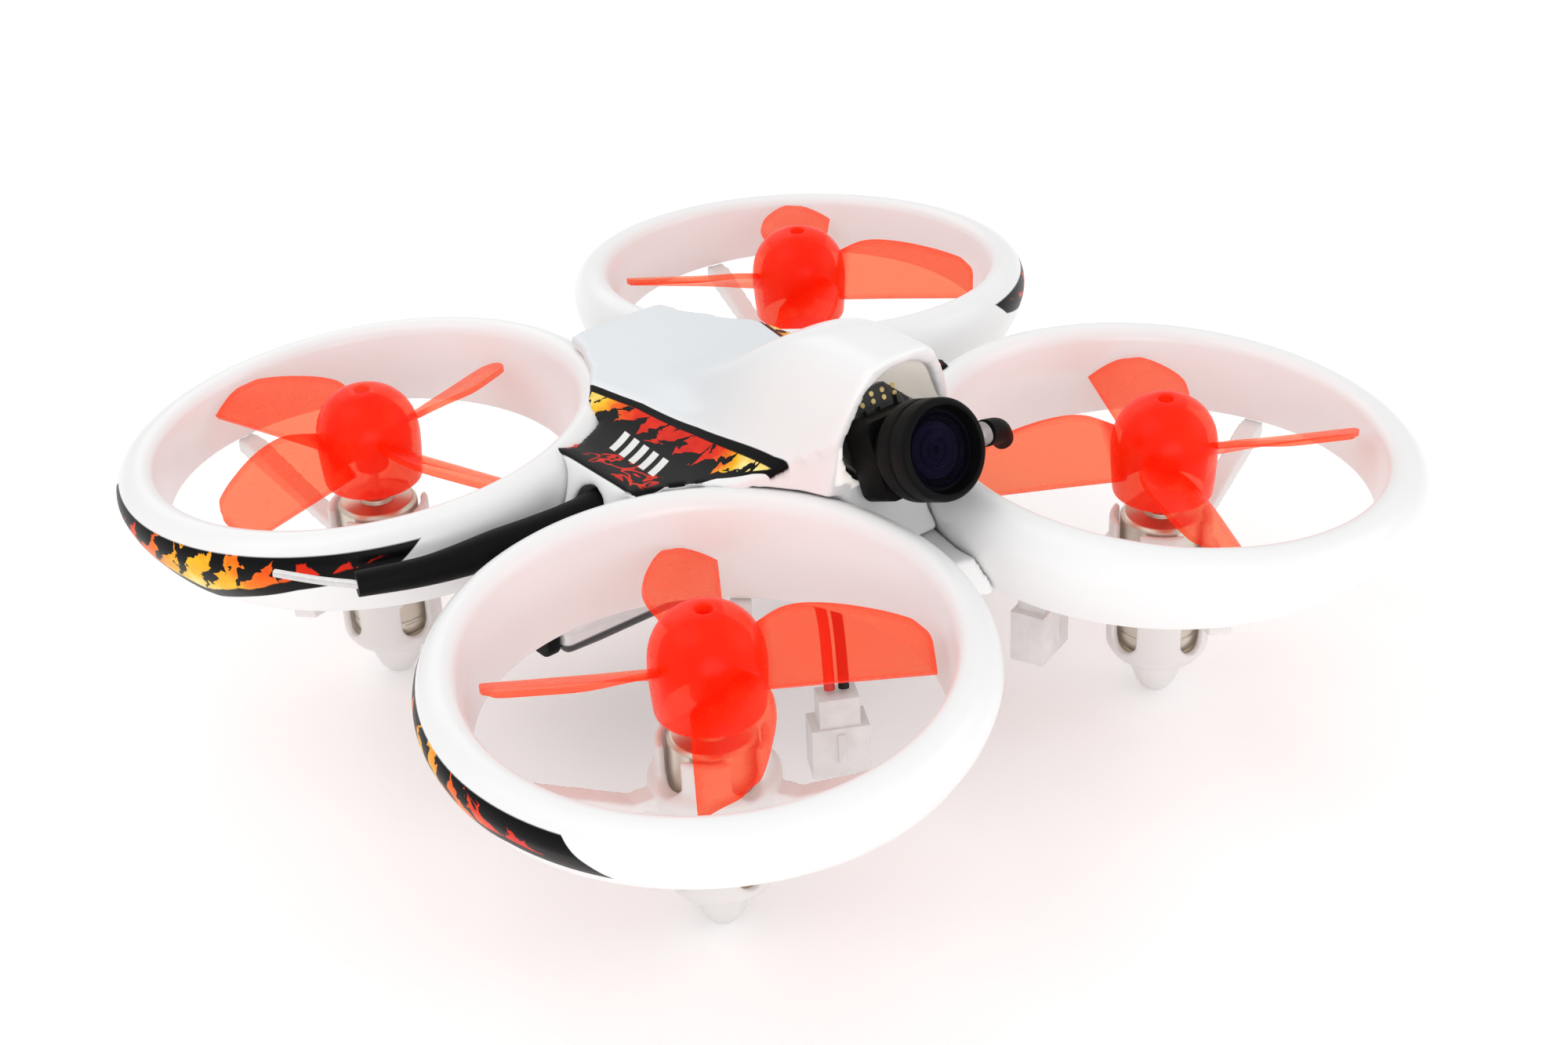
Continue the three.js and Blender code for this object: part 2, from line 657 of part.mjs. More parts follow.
// A tray between the ducts: floor, wall, screw posts and webs that end in hollow arcs.
function deckGeometry() {
  let deck = deckBlock(0, deckBaseZ, deckTopZ).subtract(deckBlock(deckWall, floorTopZ, deckTopZ + 1));
  for (const [x, y] of screwSpots) {
    const post = cylinder(1.9, floorTopZ - 0.2, boardZ - gap, 12).translate(x, y, 0);
    const hole = cylinder(screwRadius + gap, deckBaseZ + 0.6, boardZ + 1, 12).translate(x, y, 0);
    deck = deck.add(toManifold(post)).subtract(toManifold(hole));
  }
  const hollow = 7;
  const depth = 1.4;
  for (const [x, y] of [[0, -1], [0, 1], [1, 0], [-1, 0]]) {
    const reach = (x === 0 ? deckNoseReach : deckSideReach) + hollow - depth;
    const arc = cylinder(hollow, deckBaseZ - 1, deckTopZ + 1, 24).translate(x * reach, y * reach, 0);
    deck = deck.subtract(toManifold(arc));
  }
  const cuts = [
    ...leadHoles.map(([x, y]) => cylinder(2.2, deckBaseZ - 1, floorTopZ + 1, 14).translate(x, y, 0)),
    box(8.2, 3.4, deckFloor + 2, ...usbSpot, floorTopZ - deckFloor / 2),
    cylinder(1.3, deckBaseZ - 1, floorTopZ + 1, 16).translate(...buttonSpot, 0),
    antennaSleeve(gap),
  ];
  for (const cut of cuts) deck = deck.subtract(toManifold(cut));
  return toGeometry(deck);
}

// ---- Electronics -------------------------------------------------------------------------

// Diamond board with clipped corners, one hole near each corner and chips on its top face.
function boardGeometry() {
  const reach = boardHalfDiagonal;
  const clip = 1.6;
  const outline = new THREE.Shape([
    [reach - clip, -clip], [reach - clip, clip], [clip, reach - clip], [-clip, reach - clip],
    [clip - reach, clip], [clip - reach, -clip], [-clip, clip - reach], [clip, clip - reach],
  ].map(([x, y]) => new THREE.Vector2(x, y)));
  for (const [x, y] of screwSpots) {
    outline.holes.push(new THREE.Path().absarc(x, y, screwRadius + gap, 0, 2 * Math.PI, true));
  }
  const top = boardZ + boardThickness;
  return combine([
    extrude(outline, boardZ, top, 6),
    box(6, 6, 1.1, 1, 1, top + 0.45).rotateZ(Math.PI / 4),
    box(3, 3, 1.1, 6.5, -2, top + 0.45),
    box(2.4, 3.4, 0.9, -6.5, 2.5, top + 0.35),
  ]);
}

function screwGeometry() {
  const top = boardZ + boardThickness;
  const head = top + gap;
  return lathe([
    [0, deckBaseZ + 1.1], [screwRadius, deckBaseZ + 1.5], [screwRadius, head], [screwHeadRadius, head],
    [screwHeadRadius, head + 0.6], [0.5 * screwHeadRadius, head + 0.9], [0, head + 0.9],
  ], 12);
}

function usbGeometry() {
  const height = boardZ - gap - deckBaseZ;
  const middle = deckBaseZ + height / 2;
  return combine([box(7.4, 2.6, height, ...usbSpot, middle)],
    [box(6.6, 1.8, height, usbSpot[0], usbSpot[1], middle - 0.5)]);
}

function buttonGeometry() {
  return lathe([
    [0, deckBaseZ - 0.3], [0.8, deckBaseZ - 0.3], [0.9, deckBaseZ - 0.1], [0.9, boardZ - 1.6], [0, boardZ - 1.6],
  ], 16).translate(...buttonSpot, 0);
}

// ---- Battery and leads -------------------------------------------------------------------

function batteryGeometry() {
  const alongX = new THREE.Matrix4().makeBasis(
    new THREE.Vector3(0, 1, 0), new THREE.Vector3(0, 0, 1), new THREE.Vector3(1, 0, 0));
  const body = extrude(roundedRectangle(batteryWidth, batteryHeight, 1.6), -batteryLength / 2 + 1.8,
    batteryLength / 2, 4);
  return body.applyMatrix4(alongX).translate(0, batteryOffsetY, batteryBaseZ + batteryHeight / 2);
}

function batteryEndGeometry() {
  const alongX = new THREE.Matrix4().makeBasis(
    new THREE.Vector3(0, 1, 0), new THREE.Vector3(0, 0, 1), new THREE.Vector3(1, 0, 0));
  const body = extrude(roundedRectangle(batteryWidth - 0.6, batteryHeight - 0.6, 1.4), 0, 1.5, 4);
  return body.applyMatrix4(alongX)
    .translate(-batteryLength / 2, batteryOffsetY, batteryBaseZ + batteryHeight / 2);
}

// A cradle under the deck that wraps the battery's front, back and underside.
function cradleGeometry() {
  const half = batteryWidth / 2 + gap;
  const [inner, outer] = [batteryBaseZ - gap, batteryBaseZ - gap - cradleWall];
  const top = deckBaseZ - gap;
  const view = new THREE.Shape([
    [-half - cradleWall, outer + 0.8], [-half - cradleWall + 0.8, outer], [half + cradleWall - 0.8, outer],
    [half + cradleWall, outer + 0.8], [half + cradleWall, top], [half, top], [half, inner], [-half, inner],
    [-half, top], [-half - cradleWall, top],
  ].map(([y, z]) => new THREE.Vector2(y, z)));
  const alongX = new THREE.Matrix4().makeBasis(
    new THREE.Vector3(0, 1, 0), new THREE.Vector3(0, 0, 1), new THREE.Vector3(1, 0, 0));
  const body = extrude(view, -cradleHalfWidth, cradleHalfWidth).applyMatrix4(alongX);
  const slots = [-1, 1].map((side) => extrude(slotShape(3, 11), outer - 1, inner + 1, 4)
    .translate((side * cradleHalfWidth) / 2, 0, 0));
  return combine([body], slots).translate(0, batteryOffsetY, 0);
}

// Each plug hangs on a red and a black lead from its own hole in the deck.
const plugs = [
  { name: 'power', hole: leadHoles[0], spot: [-8.3, -21.4], top: 12.2, turn: -0.5, bend: [-6.0, -17.6, 19.2] },
  { name: 'charge', hole: leadHoles[1], spot: [13.4, -27.4], top: 19.4, turn: 0.35, bend: [6.6, -18.0, 19.3] },
];

// Two-pin plug: a narrow upper half, shoulders and a wider lower half with two contact holes.
function plugGeometry({ spot: [x, y], top, turn }) {
  const shoulder = top - 3.2;
  const upper = box(plugWidth - 1.8, plugDepth - 0.8, 3.6, 0, 0, top - 1.8);
  const lower = box(plugWidth, plugDepth, 5.6, 0, 0, shoulder - 2.8);
  const ribs = box(0.8, plugDepth + 0.8, 3.4, 0, 0, shoulder - 2.2);
  const holes = [-1, 1].map((side) => box(1.3, 1.3, 4, side, 0, shoulder - 4.2));
  return combine([upper, lower, ribs], holes).rotateZ(turn).translate(x, y, 0);
}

// A lead leaves the board, drops through its hole in the deck and hangs to the plug.
function leadGeometry({ hole, spot, top, turn, bend }, side) {
  const shift = side * (leadRadius + gap / 2 + 0.02);
  const [dx, dy] = [shift * Math.cos(turn), shift * Math.sin(turn)];
  const points = [
    [...hole, boardZ - gap], [...hole, deckBaseZ - 0.3], bend,
    [spot[0] * 0.93 + hole[0] * 0.07, spot[1] * 0.95 + hole[1] * 0.05, top + 2.2], [...spot, top + gap + 0.1],
  ];
  return tube(points.map(([x, y, z]) => [x + dx, y + dy, z]), leadRadius, 10, 8);
}

// ---- Camera ------------------------------------------------------------------------------

// Pieces are modelled along +Z from the lens face backwards, then tilted as one group.
const lensFace = new THREE.Vector3(0, -28.6, panelZ + 4.8);

function lensRingGeometry() {
  const inner = lensRadius - 1.9;
  return lathe([
    [inner, -lensLength], [lensRadius - 0.3, -lensLength], [lensRadius, -lensLength + 0.3],
    [lensRadius, -0.35], [lensRadius - 0.35, 0], [lensRadius - 0.7, 0], [lensRadius - 1.0, -1.5],
    [inner, -1.6], [inner, -lensLength],
  ], 24);
}

function lensGlassGeometry() {
  const radius = lensRadius - 1.0 - gap;
  return lathe([[0, -1.2], [radius - 0.4, -1.2], [radius, -1.1], [0.7 * radius, -0.7], [0.35 * radius, -0.5], [0, -0.45]], 24);
}

function lensBarrelGeometry() {
  const radius = lensRadius - 1.9 - gap;
  return lathe([
    [0, -9.2], [radius - 0.3, -9.2], [radius, -8.9], [radius, -2.2], [radius - 0.3, -1.9],
    [0, -1.9],
  ], 16);
}

function cameraBodyGeometry() {
  const back = -lensLength - gap;
  const block = extrude(roundedRectangle(cameraBodySize, cameraBodySize, 1.2), back - cameraBodyLength,
    back - 0.9, 3);
  const boss = cylinder(4.0, back - 1.2, back, 20);
  const bore = cylinder(lensRadius - 1.9, back - cameraBodyLength - 1, back + 1, 24);
  return combine([block, boss], [bore]);
}

function cameraBoardGeometry() {
  const back = -lensLength - gap - cameraBodyLength - gap;
  const [half, low, high, clip] = [cameraBoardWidth / 2, -cameraBoardHeight / 2, cameraBoardHeight / 2, 2.4];
  const outline = new THREE.Shape([
    [clip - half, low], [half - clip, low], [half, low + clip], [half, high - clip],
    [half - clip, high], [clip - half, high], [-half, high - clip], [-half, low + clip],
  ].map(([x, y]) => new THREE.Vector2(x, y)));
  return extrude(outline, back - 1, back, 3).translate(0, 2.2, 0);
}

// ---- Assembly ----------------------------------------------------------------------------

for (const corner of corners) {
  const station = new THREE.Group();
  station.position.set(corner.x * armReach, corner.y * armReach, 0);
  drone.add(station);
  addPiece(`duct_${corner.name}`, ductGeometry(corner), whiteGloss, station);
  addPiece(`motor_sleeve_${corner.name}`, sleeveFor(corner), milkyWhite, station);
  addPiece(`motor_can_${corner.name}`, motorCanGeometry(), steel, station);
  addPiece(`motor_cap_${corner.name}`, motorCapGeometry(), beige, station);
  addPiece(`prop_shaft_${corner.name}`,
    cylinder(shaftRadius, motorBaseZ + motorCapLength + 0.6, motorTopZ + shaftReach, 12), steel, station);
  addPiece(`propeller_${corner.name}`, propGeometry(corner), redClear, station);
}

addPiece('canopy', canopyGeometry(), whiteGloss);
addPiece('deck', deckGeometry(), whiteGloss);
addPiece('flight_controller', boardGeometry(), boardBlack);
['front', 'rear', 'right', 'left'].forEach((side, i) => {
  addPiece(`board_screw_${side}`, screwGeometry().translate(...screwSpots[i], 0), steel);
});
addPiece('usb_socket', usbGeometry(), steel);
addPiece('bind_switch', box(3, 3, 0.9, ...buttonSpot, boardZ - gap - 0.45), boardBlack);
addPiece('bind_button', buttonGeometry(), blackMatte);
addPiece('antenna_sleeve', antennaSleeve(0), blackMatte);
addPiece('antenna_tip', antennaTip(), steel);
addPiece('aerial_joint', aerialJoint(), clearSleeve);
addPiece('aerial_sleeve', aerialSleeve(), blackMatte);
addPiece('battery', batteryGeometry(), silverWrap);
addPiece('battery_end', batteryEndGeometry(), blackMatte);
addPiece('battery_cradle', cradleGeometry(), milkyWhite);
for (const plug of plugs) {
  addPiece(`${plug.name}_plug`, plugGeometry(plug), connectorWhite);
  addPiece(`${plug.name}_lead_red`, leadGeometry(plug, -1), redLead);
  addPiece(`${plug.name}_lead_black`, leadGeometry(plug, 1), blackMatte);
}

const camera = new THREE.Group();
camera.position.copy(lensFace);
camera.rotation.x = Math.PI / 2 - cameraTilt;
drone.add(camera);
addPiece('lens_ring', lensRingGeometry(), blackMatte, camera);
addPiece('lens_glass', lensGlassGeometry(), blackGloss, camera);
addPiece('lens_barrel', lensBarrelGeometry(), blackMatte, camera);
addPiece('camera_body', cameraBodyGeometry(), blackMatte, camera);
addPiece('camera_board', cameraBoardGeometry(), boardBlack, camera);

export default drone;
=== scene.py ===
from math import atan2, cos, degrees, hypot, pi, radians, sin, tan

import bmesh
import bpy
from mathutils import Matrix, Vector
from mathutils.bvhtree import BVHTree


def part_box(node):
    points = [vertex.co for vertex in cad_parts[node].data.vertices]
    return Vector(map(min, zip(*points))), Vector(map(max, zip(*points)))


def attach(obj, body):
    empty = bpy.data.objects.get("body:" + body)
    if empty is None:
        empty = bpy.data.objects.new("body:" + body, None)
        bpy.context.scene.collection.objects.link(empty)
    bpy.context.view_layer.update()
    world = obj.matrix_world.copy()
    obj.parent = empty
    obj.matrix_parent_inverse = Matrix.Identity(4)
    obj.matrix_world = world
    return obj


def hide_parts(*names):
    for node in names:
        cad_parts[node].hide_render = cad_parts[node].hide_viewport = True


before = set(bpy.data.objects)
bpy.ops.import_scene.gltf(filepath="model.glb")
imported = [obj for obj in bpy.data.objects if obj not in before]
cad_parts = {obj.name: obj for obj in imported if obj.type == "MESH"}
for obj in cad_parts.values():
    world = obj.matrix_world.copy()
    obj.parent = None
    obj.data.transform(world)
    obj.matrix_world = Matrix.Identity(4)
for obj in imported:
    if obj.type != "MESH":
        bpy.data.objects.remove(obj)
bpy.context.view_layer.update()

MM = 0.001
GAP = 0.3

# The drone's own layout, in millimetres: ground at 0, nose towards -Y.
ARM = 29.0                    # motor axis from the centre line, sideways and fore-aft
MOTOR_BASE, MOTOR_TOP = 5.3, 21.3
HUB_BASE, HUB_TOP = 22.7, 34.2
DUCT_BASE, DUCT_HEIGHT = 21.9, 9.0
DUCT_CREST = DUCT_BASE + DUCT_HEIGHT
DUCT_BORE = 21.3
DUCT_DROOP = radians(5)
LIP_INNER, LIP_WIDTH = 22.1, 4.1
MOTOR_RADIUS, HUB_RADIUS = 4.2, 5.4
BLADE_REACH, BLADE_CHORD = 20.2, 8.4
BLADE_COUNT = 4
LENS_RADIUS, LENS_LENGTH = 4.9, 4.6
LEAD_RADIUS = 0.55
PANEL = 34.2                  # flat top panel of the shell
PANEL_FRONT, PANEL_CORNER, PANEL_TAIL = 5.6, 10.8, 4.0    # its half widths
CORNER_Y, TAIL_Y, SHELL_SIDE = 14.6, 26.5, 20.6
HOOD_FRONT, HOOD_END = -16.0, 12.0
HOOD_HEIGHT, HOOD_HALF = 12.5, 7.2

# The view of the studio camera, in degrees and millimetres.
VIEW_AZIMUTH, VIEW_ELEVATION, VIEW_ROLL = -37.692, 30.033, -2.68
VIEW_RIGHT, VIEW_UP, VIEW_BACK = 2.131, -13.215, 254.99
VIEW_LENS = 57.82

# Name, side, fore or aft, way of turning, blades' angle at rest, spokes' angles.
CORNERS = (
    ("front_right", -1, -1, 1, 56, (0, 118, -103)),
    ("front_left", 1, -1, -1, 61, (0, 118, -103)),
    ("rear_right", -1, 1, -1, 18, (-25, -145, 95)),
    ("rear_left", 1, 1, 1, 46, (-25, -145, 95)),
)


# ---- Camera, light and floor

def make_camera():
    azimuth, elevation, roll = map(radians, (VIEW_AZIMUTH, VIEW_ELEVATION, VIEW_ROLL))
    back = Vector((sin(azimuth) * cos(elevation), -cos(azimuth) * cos(elevation),
                   sin(elevation)))
    level = Vector((cos(azimuth), sin(azimuth), 0))
    up = back.cross(level)
    side = level * cos(roll) + up * sin(roll)
    over = up * cos(roll) - level * sin(roll)
    place = level * VIEW_RIGHT + up * VIEW_UP + back * VIEW_BACK + Vector((0, 0, HUB_TOP))
    data = bpy.data.cameras.new("camera")
    data.sensor_fit, data.sensor_width, data.lens = "HORIZONTAL", 36.0, VIEW_LENS
    data.clip_start, data.clip_end = 0.01, 10
    camera = bpy.data.objects.new("camera", data)
    turn = Matrix((side, over, back)).transposed().to_4x4()
    camera.matrix_world = Matrix.Translation(place * MM) @ turn
    bpy.context.scene.collection.objects.link(camera)
    bpy.context.scene.camera = camera


def soft_box(name, place, size, power):
    """A round soft light that faces the drone's middle."""
    target = Vector((0, 0, 0.025))
    data = bpy.data.lights.new(name, "AREA")
    data.shape, data.size, data.energy = "DISK", size, power
    lamp = bpy.data.objects.new(name, data)
    lamp.location = place
    lamp.rotation_euler = (target - Vector(place)).to_track_quat("-Z", "Y").to_euler()
    bpy.context.scene.collection.objects.link(lamp)


def make_studio():
    world = bpy.data.worlds.new("studio")
    bpy.context.scene.world = world
    world.use_nodes = True
    sky = world.node_tree.nodes["Background"]
    sky.inputs["Color"].default_value = (1.0, 1.0, 1.0, 1)
    sky.inputs["Strength"].default_value = 0.8
    soft_box("key_light", (-0.3, 0.1, 0.55), 0.5, 0.5)
    soft_box("fill_light", (0.45, -0.35, 0.3), 0.4, 0.3)
    soft_box("front_light", (-0.28, -0.55, 0.1), 0.45, 1.1)
    soft_box("back_light", (0.1, 0.55, 0.45), 0.5, 0.4)
    view = bpy.context.scene.view_settings
    view.view_transform, view.look = "Standard", "None"
    view.exposure, view.gamma = 0.0, 1.0


# ---- Shader writing

class Value:
    """A socket that can be used in arithmetic."""

    def __init__(self, paint, socket):
        self.paint, self.socket = paint, socket

    def _math(self, operation, *inputs):
        return self.paint.node("ShaderNodeMath", {"operation": operation},
                               dict(enumerate(inputs)))

    def __add__(self, other): return self._math("ADD", self, other)
    def __radd__(self, other): return self._math("ADD", other, self)
    def __sub__(self, other): return self._math("SUBTRACT", self, other)
    def __rsub__(self, other): return self._math("SUBTRACT", other, self)
    def __mul__(self, other): return self._math("MULTIPLY", self, other)
    def __rmul__(self, other): return self._math("MULTIPLY", other, self)
    def __truediv__(self, other): return self._math("DIVIDE", self, other)
    def least(self, other): return self._math("MINIMUM", self, other)
    def most(self, other): return self._math("MAXIMUM", self, other)
    def size(self): return self._math("ABSOLUTE", self)
    def whole_left(self): return self._math("FRACT", self)
    def power(self, exponent): return self._math("POWER", self, exponent)

    def ramp(self, low, high):
        """0 below low, 1 above high, smooth between them; high may be the smaller one."""
        return self.paint.node("ShaderNodeMapRange", {"interpolation_type": "SMOOTHSTEP"},
                               {0: self, 1: low, 2: high})

    def line(self, stops):
        """Joins (place, height) stops with straight lines."""
        places, heights = [p for p, _ in stops], [h for _, h in stops]
        low, span = min(heights), (max(heights) - min(heights)) or 1
        start, reach = places[0], places[-1] - places[0]
        shades = [((p - start) / reach, (h - low) / span) for p, h in stops]
        return self.paint.grey_ramp((self - start) / reach, shades) * span + low


class Paint:
    """One material and the nodes that feed its main shader."""

    def __init__(self, name):
        self.material = bpy.data.materials.new(name)
        self.material.use_nodes = True
        self.tree = self.material.node_tree
        self.shader = self.tree.nodes["Principled BSDF"]

    def node(self, kind, settings=None, inputs=None, out=0):
        node = self.tree.nodes.new(kind)
        for key, setting in (settings or {}).items():
            if key == "stops":
                elements = node.color_ramp.elements
                while len(elements) < len(setting):
                    elements.new(0.5)
                for element, (place, colour) in zip(elements, setting):
                    element.position, element.color = place, colour
            else:
                setattr(node, key, setting)
        for key, given in (inputs or {}).items():
            self.feed(node.inputs[key], given)
        return Value(self, node.outputs[out])

    def feed(self, socket, given):
        if isinstance(given, Value):
            self.tree.links.new(given.socket, socket)
        else:
            socket.default_value = given

    def set(self, **inputs):
        for key, given in inputs.items():
            self.feed(self.shader.inputs[key.replace("_", " ")], given)
        return self

    def place(self):
        """Object coordinates in millimetres, as (vector, x, y, z)."""
        raw = self.node("ShaderNodeTexCoord", out=3)
        vector = self.node("ShaderNodeVectorMath", {"operation": "SCALE"}, {0: raw, 3: 1 / MM})
        return (vector, *[self.node("ShaderNodeSeparateXYZ", inputs={0: vector}, out=i)
                          for i in range(3)])

    def sheet(self):
        """The piece's own flat coordinates, as (u, v)."""
        raw = self.node("ShaderNodeUVMap", {"uv_map": "sheet"})
        return [self.node("ShaderNodeSeparateXYZ", inputs={0: raw}, out=i) for i in range(2)]

    def stretched(self, vector, by):
        return self.node("ShaderNodeVectorMath", {"operation": "MULTIPLY"}, {0: vector, 1: by})

    def noise(self, vector, scale, detail=2.0, distortion=0.0):
        return self.node("ShaderNodeTexNoise", {"noise_dimensions": "3D"},
                         {"Vector": vector, "Scale": scale, "Detail": detail,
                          "Distortion": distortion})

    def grey_ramp(self, value, shades):
        stops = [(place, (shade, shade, shade, 1)) for place, shade in shades]
        return self.node("ShaderNodeValToRGB", {"stops": stops}, {0: value})

    def blend(self, share, first, second):
        """first where share is 0 and second where it is 1."""
        return self.node("ShaderNodeMix", {"data_type": "RGBA"}, {0: share, 6: first, 7: second},
                         out=2)

    def bump(self, height, depth):
        """Raises the surface by height, 0 to 1, times depth in millimetres."""
        return self.node("ShaderNodeBump", inputs={"Strength": 1.0, "Distance": depth * MM,
                                                   "Height": height})

    def see_through(self, share, film):
        """Lets a share of the light through the main shader, tinted by film."""
        through = self.node("ShaderNodeBsdfTransparent", inputs={0: film})
        mixed = self.node("ShaderNodeMixShader", inputs={0: share})
        node = mixed.socket.node
        self.tree.links.new(self.shader.outputs[0], node.inputs[1])
        self.tree.links.new(through.socket, node.inputs[2])
        self.tree.links.new(mixed.socket, self.tree.nodes["Material Output"].inputs[0])
        return self


def tint(red, green, blue):
    return (red, green, blue, 1.0)


def moulded_white(paint, vector):
    """Gloss white moulding: faint clouding, uneven polish and a very fine orange peel."""
    cloud = paint.noise(vector, 0.09, 3)
    peel = paint.noise(vector, 0.9, 2)
    paint.set(Roughness=0.26 + 0.1 * paint.noise(vector, 0.35, 4),
              Normal=paint.bump(peel, 0.004), Coat_Weight=0.25, Coat_Roughness=0.2)
    return paint.blend(cloud, tint(0.87, 0.87, 0.87), tint(0.91, 0.906, 0.904))


def stick_on(paint, sticker, ink):
    """Lays a printed film over the main shader where sticker is 1."""
    film = paint.node("ShaderNodeBsdfPrincipled", inputs={
        "Base Color": ink, "Roughness": 0.34, "Specular IOR Level": 0.12})
    mixed = paint.node("ShaderNodeMixShader", inputs={0: sticker, 2: film})
    paint.tree.links.new(paint.shader.outputs[0], mixed.socket.node.inputs[1])
    paint.tree.links.new(mixed.socket, paint.tree.nodes["Material Output"].inputs[0])


def flame_colour(paint, heat):
    """Red, orange, yellow and nearly white as heat goes from 0 to 1."""
    return paint.node("ShaderNodeValToRGB", {"stops": [
        (0.0, tint(0.62, 0.008, 0.004)), (0.3, tint(0.82, 0.03, 0.006)),
        (0.55, tint(0.92, 0.18, 0.01)), (0.78, tint(0.95, 0.56, 0.02)),
        (1.0, tint(0.98, 0.9, 0.35))]}, {0: heat})


def licks(along, across, paint, vector, pitch, lean):
    """Flame tips, 0 to 1, with gaps between them, that curl along a strip."""
    wander = paint.noise(vector, 0.5, 3, 0.8) - 0.5
    tooth = ((along + across * lean) / pitch + wander * 1.5).whole_left()
    tooth = 1.0 - (tooth * 2.0 - 1.0).size()
    return tooth.power(0.8) * (0.6 + 0.8 * paint.noise(vector, 0.25, 1))


def make_shell_paint():
    """White shell with a black flame sticker on each shoulder, painted shade on its flat top panel
    and a painted glow on the inner faces under the hood.
    """
    paint = Paint("shell_white_with_stickers")
    vector, x, y, z = paint.place()
    white = moulded_white(paint, vector)
    out = x.size()
    front = out.line([(8.6, -19.0), (8.9, -18.3), (9.64, -16.6), (10.95, -13.1), (12.8, -9.9),
                      (14.3, -8.6), (15.9, -8.0), (18.8, -7.8), (21.0, -7.3)])
    rear = out.line([(9.0, 15.1), (10.9, 13.9), (13.1, 12.6), (16.0, 10.4), (20.0, 6.9),
                     (21.0, 6.0)])
    ridge = y.line([(-19.0, 8.85), (-14.4, 9.2), (-2.2, 9.2), (6.4, 9.66), (13.9, 10.9),
                    (15.0, 11.2)])
    inward = out - ridge
    edge = (y - front).least(rear - y).least(inward).least(20.4 - out)
    top_side = paint.node("ShaderNodeSeparateXYZ", inputs={0: paint.node(
        "ShaderNodeNewGeometry", out=1)}, out=2).ramp(0.0, 0.1)
    sticker = edge.ramp(0.0, 0.1) * top_side * z.ramp(30.6, 31.0)
    tip = licks(y * -1.0, inward, paint, vector, 3.3, 0.8)
    top_flame = (3.3 * tip - 0.5 - (inward - 0.9)).ramp(0.0, 0.12) * y.ramp(-15.0, -14.2)
    rear_tip = licks(out, y, paint, vector, 2.4, 0.4)
    rear_flame = (0.35 + 1.3 * rear_tip - (rear - y - 1.3)).ramp(0.0, 0.12)
    rear_flame = rear_flame * (rear - y).ramp(1.2, 1.3)
    swirl = (paint.noise(vector, 0.28, 1, 1.6) - 0.5).size().ramp(0.05, 0.035)
    swirl = swirl * inward.ramp(6.6, 7.2) * y.ramp(-6.5, -5.5) * y.ramp(4.0, 2.5)
    flame = top_flame.most(rear_flame).most(swirl) * edge.ramp(0.75, 0.85)
    heat = y.line([(-15.0, 1.0), (-10.5, 0.85), (-7.5, 0.3), (-2.0, 0.12), (5.0, 0.2), (8.5, 0.5),
                   (12.0, 0.95)]) + (paint.noise(vector, 0.7, 2) - 0.5) * 0.5
    bar_middle, bar_pitch = 14.8, 1.7
    slant = y - 0.2 + (out - bar_middle) * 0.45
    bars = (slant / bar_pitch + 0.5).whole_left()
    bar = bars.ramp(0.2, 0.25) * bars.ramp(0.82, 0.77) * slant.size().ramp(4.25, 4.2)
    bar = bar * (out - bar_middle + slant * 0.06).size().ramp(1.5, 1.42)
    ink = paint.blend(flame, tint(0.002, 0.002, 0.002), flame_colour(paint, heat))
    ink = paint.blend(bar, ink, tint(0.85, 0.85, 0.83))
    # Painted shade: the flat top panel's up-facing faces are tinted a darker blue-grey than the
    # shoulders, standing in for how the light falls on them.
    panel = inward.ramp(0.4, -0.5) * y.ramp(-12.0, 2.0) * top_side
    # Painted glow: the inner faces under the hood emit a warm light through Emission Color,
    # standing in for light that passes through the thin shell.
    painted_glow_mask = paint.node("ShaderNodeAttribute", {"attribute_name": "inside"}, out=2)
    paint.set(Base_Color=paint.blend(panel * 0.75, white, tint(0.72, 0.76, 0.79)),
              Emission_Color=paint.blend(painted_glow_mask, tint(0, 0, 0), tint(0.92, 0.84, 0.74)),
              Emission_Strength=0.4)
    stick_on(paint, sticker, ink)
    return paint.material


def make_duct_paint():
    """White duct with a black flame sticker round its outer side."""
    paint = Paint("duct_white_with_sticker")
    vector = paint.place()[0]
    white = moulded_white(paint, vector)
    angle, share = paint.sheet()
    low = angle.line([(-36, 0.2), (-34, 0.2), (-11, 0.3), (5, 0.12), (17, -0.02), (30, 0.2),
                      (43, 0.4), (55, 0.5), (66, 0.64), (71, 0.83), (73, 0.9)])
    high = angle.line([(-36, 0.1), (-34, 0.22), (-25, 0.83), (71, 0.84), (73, 0.8)])
    inside = (share - low).least(high - share)
    sticker = inside.ramp(0.0, 0.02)
    tip = licks(angle * 0.45, share * -6.0, paint, vector, 3.8, 0.8)
    taper = angle.line([(-36, 0.0), (-22, 0.1), (-8, 0.75), (12, 1.0), (30, 0.9), (48, 0.55),
                        (64, 0.1)])
    base = low + 0.1 + 0.1 * paint.noise(vector, 0.4, 2)
    reach = base + (high - low) * taper * (0.95 * tip - 0.05)
    flame = (share - base).ramp(0.0, 0.025) * (reach - share).ramp(0.0, 0.03)
    flame = flame * taper.ramp(0.05, 0.1)
    heat = angle.line([(-36, 0.1), (-14, 0.2), (4, 0.65), (16, 0.95), (30, 0.7), (46, 0.3),
                       (70, 0.1)])
    heat = heat + (paint.noise(vector, 0.6, 2) - 0.5) * 0.3 + (share - base) * -0.35
    ink = paint.blend(flame, tint(0.002, 0.002, 0.002), flame_colour(paint, heat))
    paint.set(Base_Color=white)
    stick_on(paint, sticker, ink)
    return paint.material


def make_white_paint():
    """Plain gloss white of the deck."""
    paint = Paint("deck_white")
    vector = paint.place()[0]
    return paint.set(Base_Color=moulded_white(paint, vector)).material


